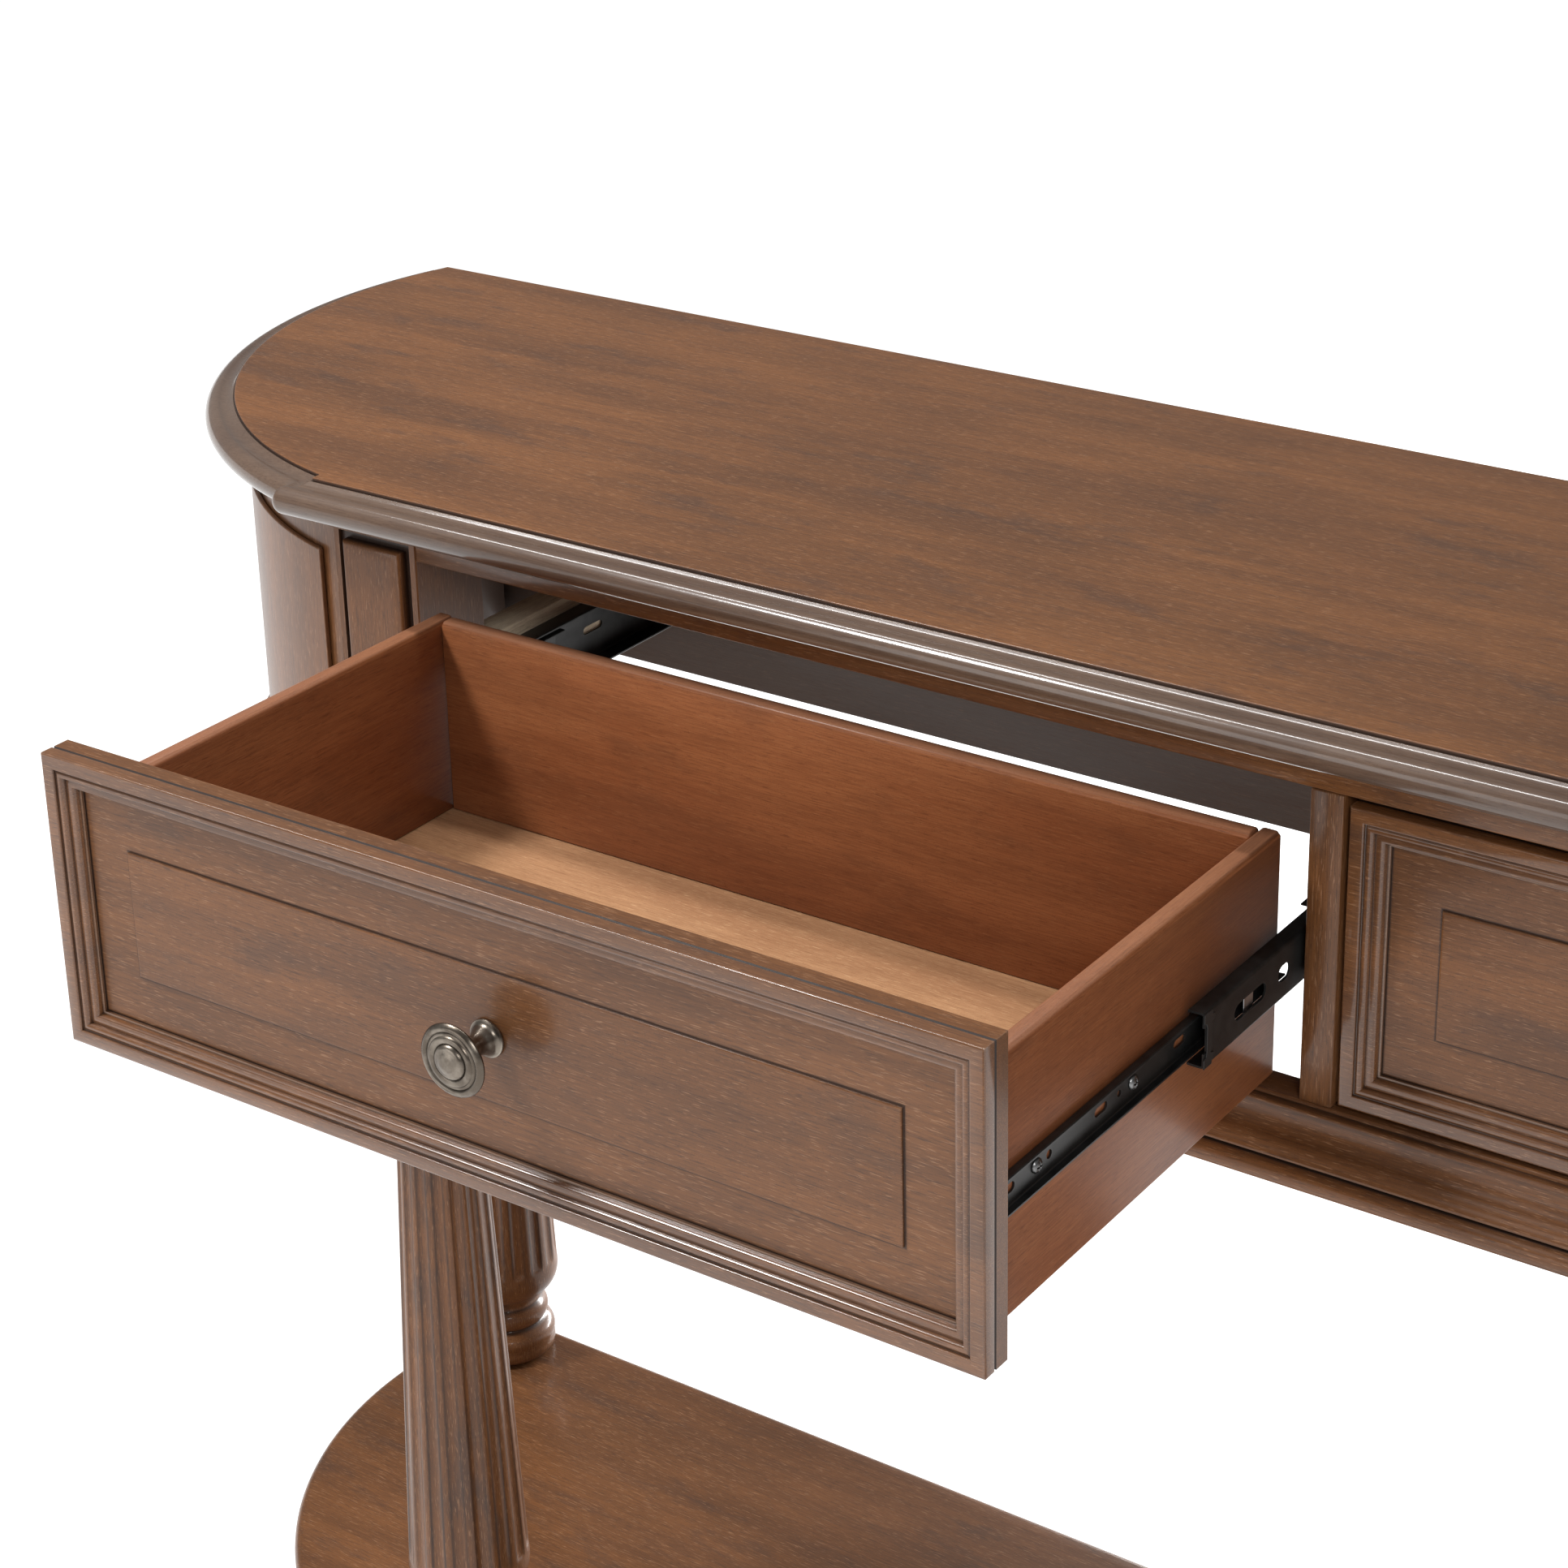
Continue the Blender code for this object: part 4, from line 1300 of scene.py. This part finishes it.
# ------------------------------------------------------------------ drawers
@dataclass
class Drawer:
    """One drawer: its moulded front, box, knob and screw."""

    side: Side
    palette: Palette
    field_inset: float = 0.042
    field_rise: float = 0.0012
    frame_width: float = 0.0172
    knob_rim: float = 0.0166
    knob_dish: float = 0.0052
    screw_head: float = 0.0042
    screw_shank: float = 0.0019

    @property
    def name(self) -> str:
        """The body that the drawer's pieces ride on."""
        return f"drawer_{self.side.word}"

    def build(self) -> None:
        """Makes every piece of the drawer."""
        self.frame()
        self.front()
        for part in ("side_left", "side_right", "back"):
            node = f"{self.name}_{part}"
            finish = self.palette.box_back if part == "back" else self.palette.box_side
            board = rounded_copy(node, 0.0009)
            rub_top(board, 0.0012)
            settle(board, finish, self.name, "drawer_box", node)
        floor = bpy.data.objects[f"{self.name}_bottom"]
        floor.data.materials.clear()
        floor.data.materials.append(self.palette.box_floor)
        self.knob()
        self.screw()

    def _ring(self, box: tuple[Vector, Vector], inset: float, y: float, glaze: float) -> Any:
        """A rectangle inside a box's front, with its glazing and painted shade.

        Args:
            box: The corners of the box.
            inset: How far inside it stands.
            y: The place of its plane.
            glaze: The glazing and painted shade at its points.

        Returns:
            The ring and its glazing and painted shade.
        """
        low, high = box
        x0, x1, z0, z1 = low.x + inset, high.x - inset, low.z + inset, high.z - inset
        return [(x0, y, z0), (x1, y, z0), (x1, y, z1), (x0, y, z1)], glaze

    def frame(self) -> None:
        """The moulding round the front: flat, quirk, two rolls and an inner fillet."""
        node = f"{self.name}_frame"
        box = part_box(node)
        depth = box[1].y - box[0].y
        # Glaze values paint shade along the back edges against the board (1.0), in the quirks (0.6, 0.5)
        # and at the inner fillet (0.7)
        section = Section(0.0005, depth, 1.0).line(0, depth - 0.0005, 1.0).line(0, depth - 0.0007)
        section.line(0, 0.0011).bow(0.0011, 0, -0.2, 3).line(0.0060, 0).bow(0.0069, 0.0007, -0.2, 3)
        section.line(0.0070, 0.0016, 0.6).line(0.0073, 0.0017, 0.6).line(0.0075, 0.0016)
        section.bow(0.0112, 0.0026, -0.34, 8).line(0.0113, 0.0034, 0.5).line(0.0116, 0.0034)
        section.bow(0.0160, 0.0058, -0.32, 8).line(0.0161, 0.0063, 0.7).line(0.0164, 0.0063)
        section.line(self.frame_width - 0.0001, 0.0065).line(self.frame_width, depth, 1.0)
        rings = [self._ring(box, inset, box[0].y + y, glaze) for inset, y, glaze in section.points]
        piece = solid(loft(rings, looped=True), f"{node}_moulded", 30)
        settle(piece, self.palette.frame, self.name, "walnut_stain", node)

    def front(self) -> None:
        """The board behind the frame, with a raised field and the groove for the bottom."""
        node = f"{self.name}_front"
        low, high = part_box(node)
        rise, inset, frame_inner = self.field_rise, self.field_inset, self.frame_width
        face = low.y + rise
        # Glaze values paint shade where the board meets the frame (1.0) and at the foot of the raised
        # field (0.85, 0.2)
        steps = ((0.0006, high.y, 0.0), (0, high.y - 0.0006, 0.0), (0, face + 0.0008, 0.0))
        steps += ((0, face + 0.0006, 1.0), (0.0006, face, 1.0), (frame_inner, face, 1.0))
        steps += ((frame_inner + 0.0012, face, 0.0), (inset - 0.0014, face, 0.0))
        steps += ((inset - 0.0006, face + 0.0002, 0.85), (inset - 0.0001, face, 0.85))
        steps += ((inset, face - 0.6 * rise, 0.2), (inset + 0.0002, face - 0.86 * rise, 0.0))
        steps += ((inset + 0.0006, face - 0.98 * rise, 0.0), (inset + 0.0012, face - rise, 0.0))
        rings = [self._ring((low, high), *step) for step in steps]
        piece = solid(loft(rings), f"{node}_board", 40)
        floor_low, floor_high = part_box(f"{self.name}_bottom")
        spare = Vector((0.0003,) * 3)
        groove_high = Vector((floor_high.x, high.y + 0.01, floor_high.z)) + spare
        groove = block(floor_low - spare, groove_high)
        settle(cut(piece, [groove]), self.palette.rail, self.name, "walnut_stain", node)

    def knob(self) -> None:
        """The turned knob with its ringed face."""
        node = f"{self.name}_knob"
        low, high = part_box(node)
        rim = high.y - low.y - self.knob_dish
        edge = self.knob_rim
        section = Section(0, 0, 0.0).line(0.0086, 0, 1.0).bow(0.0088, 0.0012, -0.2, 3)
        section.bow(0.0062, 0.0042, 0.14, 5, 0.5).bow(0.0049, 0.0110, 0.10, 5)
        section.bow(0.0064, rim - 0.0046, 0.16, 5).bow(0.0135, rim - 0.0026, 0.10, 5)
        section.bow(edge - 0.0004, rim - 0.0011, 0.05, 3)
        section.bow(edge - 0.0003, rim + 0.0010, -0.35, 6)
        section.bow(0.0146, rim + 0.0020, -0.1, 4).bow(0.0132, rim + 0.0012, -0.12, 3, 1.0)
        section.bow(0.0118, rim + 0.0017, -0.1, 3, 0.8).bow(0.0096, rim + 0.0026, -0.20, 5)
        section.bow(0.0082, rim + 0.0020, -0.10, 3, 1.0).bow(0.0056, rim + 0.0038, -0.16, 5)
        section.bow(0.0, rim + 0.0050, -0.08, 6)
        turn = Matrix.Rotation(math.pi / 2, 4, "X")
        centre = (low + high) / 2
        place = Matrix.Translation((centre.x, high.y, centre.z)) @ turn
        knob = solid(lathe(section, 72), f"{node}_turned", 45)
        knob.data.transform(place)
        settle(knob, self.palette.knob, self.name, "antique_brass", node)

    def screw(self) -> None:
        """The screw that holds the knob from inside, with a cross in its head."""
        node = f"{self.name}_knob_screw"
        low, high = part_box(node)
        centre = (low + high) / 2
        head, shank = self.screw_head, self.screw_shank
        under = high.y - 0.0025
        section = Section(0, high.y).bow(head, high.y - 0.0014, 0.14, 6).line(head, under)
        section.line(shank, under).line(shank, low.y).line(0, low.y)
        flipped = Section(0, -high.y)
        flipped.points = [(radius, -y, glaze) for radius, y, glaze in section.points]
        obj = solid(lathe(flipped, 32), f"{node}_turned", 35)
        turn = Matrix.Rotation(math.pi / 2, 4, "X")
        obj.data.transform(Matrix.Translation((centre.x, 0, centre.z)) @ turn)
        reach, slot = 0.0026, 0.0006
        arms = []
        for across in ((reach, slot), (slot, reach)):
            arm_low = (centre.x - across[0], high.y - 0.0012, centre.z - across[1])
            arm_high = (centre.x + across[0], high.y + 0.0020, centre.z + across[1])
            arms.append(block(arm_low, arm_high))
        settle(cut(obj, arms), self.palette.zinc, self.name, "zinc", node)


# ------------------------------------------------------------------ slides
class RowTree(PieceTree):
    """Geometry nodes that set a shape out in a row along Y, such as balls or screw heads."""

    def __init__(self, finish: bpy.types.Material) -> None:
        """Builds the tree."""
        count = ("Count", "NodeSocketInt", 6)
        start = ("Start", "NodeSocketVector", (0, 0, 0))
        pitch = ("Pitch", "NodeSocketVector", (0, 0.01, 0))
        super().__init__("Row", (count, start, pitch))
        tree, given = self.tree, self.given
        line = {"Count": given.out("Count"), "Start Location": given.out("Start")}
        line["Offset"] = given.out("Pitch")
        line = tree.node("GeometryNodeMeshLine", {"mode": "OFFSET"}, line).out()
        placed = {"Points": line, "Instance": given.out("Geometry")}
        self.close(tree.node("GeometryNodeInstanceOnPoints", None, placed).out(), finish)


@dataclass(frozen=True)
class Slot:
    """A round-ended slot through a slide member."""

    back: float  # behind the member's front end
    run: float  # half of its straight length
    radius: float


@dataclass
class Slide:
    """One ball-bearing slide beside a drawer: three members, its balls and its screws."""

    drawer: Side
    side: Side
    palette: Palette
    row: RowTree
    sheet: float = 0.0012
    bend: float = 0.0016
    short_lip: float = 0.0028  # the drawer member's track stops short of the middle member's web
    bite: float = 0.0022
    bite_half: float = 0.0062
    cage_start: float = 0.039
    cage_end: float = 0.0475
    cage_half: float = 0.0056
    cage_depth: float = 0.0026
    ball_radius: float = 0.0014
    ball_pitch: float = 0.0042
    ball_count: int = 14
    first_ball: float = 0.012
    screw_radius: float = 0.0034
    screw_rise: float = 0.0016
    first_screw: float = 0.033
    screw_pitch: float = 0.077
    screw_count: int = 2
    cabinet_slots: tuple[Slot, ...] = (
        Slot(0.030, 0.006, 0.0023),
        Slot(0.120, 0.006, 0.0023),
        Slot(0.205, 0.006, 0.0023),
    )
    middle_slots: tuple[Slot, ...] = (
        Slot(0.0415, 0.0105, 0.0040),
        Slot(0.073, 0.0015, 0.0040),
        Slot(0.130, 0.0105, 0.0040),
    )
    drawer_slots: tuple[Slot, ...] = (
        Slot(0.013, 0.0015, 0.0022),
        Slot(0.043, 0.0, 0.0021),
        Slot(0.084, 0.0030, 0.0021),
        Slot(0.099, 0.0, 0.0016),
        Slot(0.150, 0.0030, 0.0021),
        Slot(0.190, 0.0030, 0.0021),
    )

    @property
    def stem(self) -> str:
        """The start of the names of this slide's nodes."""
        return f"slide_{self.drawer.word}_{self.side.word}"

    def build(self) -> None:
        """Makes the members and what they carry."""
        drawer_body = f"drawer_{self.drawer.word}"
        middle_body = f"middle_{self.drawer.word}_{self.side.word}"
        self.member("cabinet", "table", self.side.value, self.cabinet_slots)
        self.member("middle", middle_body, self.side.value, self.middle_slots)
        self.member("drawer", drawer_body, -self.side.value, self.drawer_slots)
        self.cage(middle_body)
        self.retainer(middle_body)
        self.balls(middle_body)
        self.screws(drawer_body)

    def member(self, kind: str, body: str, web_side: int, slots: Sequence[Slot]) -> None:
        """One bent steel channel with slots through its web.

        Args:
            kind: The member's name.
            body: The body it rides on.
            web_side: The sign of X on the side where the web is.
            slots: The slots through its web.
        """
        node = f"{self.stem}_{kind}"
        low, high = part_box(node)
        middle_z = (low.z + high.z) / 2
        half = (high.z - low.z) / 2
        web = high.x if web_side > 0 else low.x
        lip = low.x if web_side > 0 else high.x
        if kind == "drawer":
            lip += web_side * self.short_lip
        outline = self._channel(web, lip, half)
        rings = []
        for y in (low.y, high.y):
            rings.append(([(x, y, middle_z + z) for x, z in outline], 0.0))
        piece = solid(loft(rings), f"{node}_bent", 40)
        tools = [self._obround(web, low.y + slot.back, middle_z, slot) for slot in slots]
        if kind == "middle":
            spare = Vector((self.bite, self.bite, self.bite_half))
            mouth = Vector((web, low.y, middle_z))
            tools.append(block(mouth - spare, mouth + spare))
        cut(piece, tools)
        piece.data.set_sharp_from_angle(angle=math.radians(40))
        settle(piece, self.palette.slide, body, "slide_black", node)

    def _channel(self, web: float, lip: float, half: float) -> list[Point2]:
        """The section of a channel with rounded bends and a shallow ball track.

        Args:
            web: X of the web's outside.
            lip: X of the lips' ends.
            half: Half its height.

        Returns:
            The points of the section.
        """
        way = math.copysign(1, lip - web)
        steps = 4
        outer, inner = [], []
        for i in range(steps + 1):
            angle = math.pi / 2 * i / steps
            for radius, points in ((self.bend, outer), (self.bend - self.sheet * 0.8, inner)):
                x = web + way * (self.bend - radius * math.cos(angle))
                points.append((x, half - self.bend + radius * math.sin(angle)))
        tip = lip - way * 0.0004
        under = half - self.sheet
        upper = outer + [(tip, half), (lip, half - 0.0004), (lip, under), (tip, under)]
        upper += inner[::-1]
        return upper + [(x, -z) for x, z in reversed(upper)]

    @staticmethod
    def _obround(x: float, y: float, z: float, slot: Slot) -> bmesh.types.BMesh:
        """A cutter with round ends that passes through a web at x.

        Args:
            x: The web's place.
            y: The slot's middle.
            z: The slot's middle.
            slot: The slot's sizes.

        Returns:
            The cutter.
        """
        ends = arc((y + slot.run, z), slot.radius, -math.pi / 2, math.pi / 2, 8)
        ends += arc((y - slot.run, z), slot.radius, math.pi / 2, 1.5 * math.pi, 8)
        reach = 0.0022
        return loft([([(x + off, v, w) for v, w in ends], 0.0) for off in (-reach, reach)])

    def _plate(
        self, outline: Sequence[Point2], x: float, thick: float, name: str
    ) -> bpy.types.Object:
        """A plate in the plane of the web, of a thickness out from X.

        Args:
            outline: Its (y, z) points.
            x: The face next to the web.
            thick: Its thickness.
            name: The object's name.

        Returns:
            The plate.
        """
        way = self.side.value
        rings = [([(x + way * off, y, z) for y, z in outline], 0.0) for off in (0.0, thick)]
        return eased(solid(loft(rings), name, 40), 0.0002)

    def cage(self, body: str) -> None:
        """The bright strip that carries the balls, seen through the slots.

        Args:
            body: The body that the piece rides on.
        """
        low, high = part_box(f"{self.stem}_middle")
        middle_z = (low.z + high.z) / 2
        bottom, top = middle_z - self.cage_half, middle_z + self.cage_half
        web = high.x if self.side.value > 0 else low.x
        start, end = low.y + self.cage_start, low.y + self.cage_end
        outline = ((start, bottom), (end, bottom), (end, top), (start, top))
        place = web - self.side.value * self.cage_depth
        cage = self._plate(outline, place, 0.0008, f"{self.stem}_cage")
        settle(cage, self.palette.zinc, body, "zinc")

    def retainer(self, body: str) -> None:
        """The stepped stop on the front end of the middle member.

        Args:
            body: The body that the piece rides on.
        """
        low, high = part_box(f"{self.stem}_middle")
        z, half = (low.z + high.z) / 2, (high.z - low.z) / 2 - 0.0002
        web = high.x if self.side.value > 0 else low.x
        front = low.y - 0.0008
        upper = [(0.0, 0.0), (0.0, 0.0045), (0.0020, 0.0052), (0.0026, 0.0072)]
        back = [(0.0066, 0.0080), (0.0062, 0.0058), (0.0092, 0.0048)]
        back += [(0.0092, 0.0026), (0.0070, 0.0020), (0.0070, 0.0)]
        upper = [(front + y, half - down) for y, down in upper]
        back = [(front + y, half - down) for y, down in back]
        outline = [(y, z + v) for y, v in upper] + [(y, z - v) for y, v in reversed(upper)]
        outline += [(y, z - v) for y, v in reversed(back)] + [(y, z + v) for y, v in back]
        stop = self._plate(outline, web, 0.0006, f"{self.stem}_retainer")
        settle(stop, self.palette.slide, body, "slide_black")

    def balls(self, body: str) -> None:
        """Two tracks of steel balls between the members.

        Args:
            body: The body that the piece rides on.
        """
        low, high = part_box(f"{self.stem}_middle")
        middle_x, middle_z = (low.x + high.x) / 2, (low.z + high.z) / 2
        radius = self.ball_radius
        reach = (high.z - low.z) / 2 - self.sheet - radius - 0.0001
        for number, sign in enumerate((-1, 1)):
            bm = bmesh.new()
            bmesh.ops.create_icosphere(bm, subdivisions=2, radius=radius)
            ball = solid(bm, f"{self.stem}_balls_{number}", 60)
            start = (middle_x, low.y + self.first_ball, middle_z + sign * reach)
            row = {"Count": self.ball_count, "Start": start, "Pitch": (0, self.ball_pitch, 0)}
            self.row.run(ball, row)
            settle(ball, self.palette.zinc, body, "zinc")

    def screws(self, body: str) -> None:
        """Two pan-head screws that hold the drawer member to the drawer's side.

        Args:
            body: The body that the piece rides on.
        """
        low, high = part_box(f"{self.stem}_drawer")
        way = self.side.value
        web = low.x if way > 0 else high.x
        face = web + way * (self.sheet + 0.0001)
        radius, rise = self.screw_radius, self.screw_rise
        section = Section(0, 0).line(radius, 0).bow(radius - 0.0006, rise * 0.6, -0.1, 2)
        section.bow(0, rise, -0.12, 5)
        head = solid(lathe(section, 24), f"{self.stem}_screws", 35)
        arms = []
        for half_x, half_y in ((0.0020, 0.0004), (0.0004, 0.0020)):
            arms.append(block((-half_x, -half_y, rise * 0.35), (half_x, half_y, rise * 2)))
        cut(head, arms)
        head.data.transform(Matrix.Rotation(way * math.pi / 2, 4, "Y"))
        start = (face, low.y + self.first_screw, (low.z + high.z) / 2)
        row = {"Count": self.screw_count, "Start": start, "Pitch": (0, self.screw_pitch, 0)}
        self.row.run(head, row)
        settle(head, self.palette.screw, body, "zinc")


# ------------------------------------------------------------------ studio
@dataclass
class Studio:
    """Pale floor, soft lights and the camera."""

    camera_place: Point3 = (0.5764, -1.2228, 1.4000)
    yaw: float = 0.600
    pitch: float = 0.383
    tilt: float = -0.017
    lens: float = 77.97
    shift: Point2 = (-0.0399, -0.1202)

    def build(self) -> None:
        """Makes the stage."""
        self.floor()
        self.world()
        table = (-0.1, 0.0, 0.7)
        self.light("key", (-1.56, -1.0, 2.8), (-0.26, -0.15, 0.7), (0.5, 0.5), 50.0)
        self.light("strip", (-1.0, -0.05, 2.6), (-1.0, -0.05, 0.8), (2.2, 0.12), 26.0)
        self.light("front", (-1.2, -2.6, 1.2), table, (1.4, 1.2), 11.0)
        self.light("fill", (1.4, -2.0, 2.3), (-0.5, 0.1, 0.7), (0.6, 0.6), 19.0)
        self.light("back", (-0.3, 2.4, 0.62), (-0.3, 0.1, 0.1), (1.6, 0.4), 95.0)
        self.camera()

    def floor(self) -> None:
        """A wide pale floor."""
        bm = bmesh.new()
        bmesh.ops.create_grid(bm, x_segments=1, y_segments=1, size=30)
        floor = solid(bm, "floor")
        tree = Shader("pale_floor")
        glow = {"Emission_Color": (1, 1, 1), "Emission_Strength": 0.95}
        finish = tree.finish(Base_Color=(0.30, 0.30, 0.30), Roughness=0.9, **glow)
        floor.data.materials.append(finish)

    def world(self) -> None:
        """An even white surround."""
        world = bpy.data.worlds.new("studio")
        world.use_nodes = True
        bpy.context.scene.world = world
        tree = NodeTree(world.node_tree)
        sky = tree.node("ShaderNodeBackground", None, {"Color": (1, 1, 1), "Strength": 0.24}).out()
        tree.node("ShaderNodeOutputWorld", None, {"Surface": sky})

    def light(self, name: str, place: Point3, target: Point3, size: Point2, power: float) -> None:
        """A soft light that faces a point.

        Args:
            name: The end of its name.
            place: Where it is.
            target: The point it faces.
            size: Its width and height.
            power: Its power in watts.
        """
        data = bpy.data.lights.new(name, "AREA")
        data.shape = "RECTANGLE"
        data.size, data.size_y = size
        data.energy = power
        obj = bpy.data.objects.new(f"light_{name}", data)
        bpy.context.scene.collection.objects.link(obj)
        obj.location = place
        look = Vector(target) - Vector(place)
        obj.rotation_euler = look.to_track_quat("-Z", "Y").to_euler()

    def camera(self) -> None:
        """A long lens from the right of the front, looking down and to the left."""
        data = bpy.data.cameras.new("camera")
        data.lens = self.lens
        data.shift_x, data.shift_y = self.shift
        obj = bpy.data.objects.new("camera", data)
        bpy.context.scene.collection.objects.link(obj)
        turn = Matrix.Rotation(self.yaw, 4, "Z") @ Matrix.Rotation(math.pi / 2 - self.pitch, 4, "X")
        turn = turn @ Matrix.Rotation(self.tilt, 4, "Z")
        obj.matrix_world = Matrix.Translation(self.camera_place) @ turn
        bpy.context.scene.camera = obj
        bpy.context.scene.view_settings.view_transform = "Standard"


def main() -> None:
    """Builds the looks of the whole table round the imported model."""
    logging.basicConfig(level=logging.INFO, format="%(message)s")
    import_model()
    plan, palette = Plan(), Palette()
    TopBoard(plan, palette).build()
    Case(plan, palette).build()
    Stand(plan, palette).build()
    row = RowTree(palette.zinc)
    for drawer in Side:
        Drawer(drawer, palette).build()
        for side in Side:
            Slide(drawer, side, palette, row).build()
    Studio().build()


if __name__ == "__main__":
    main()
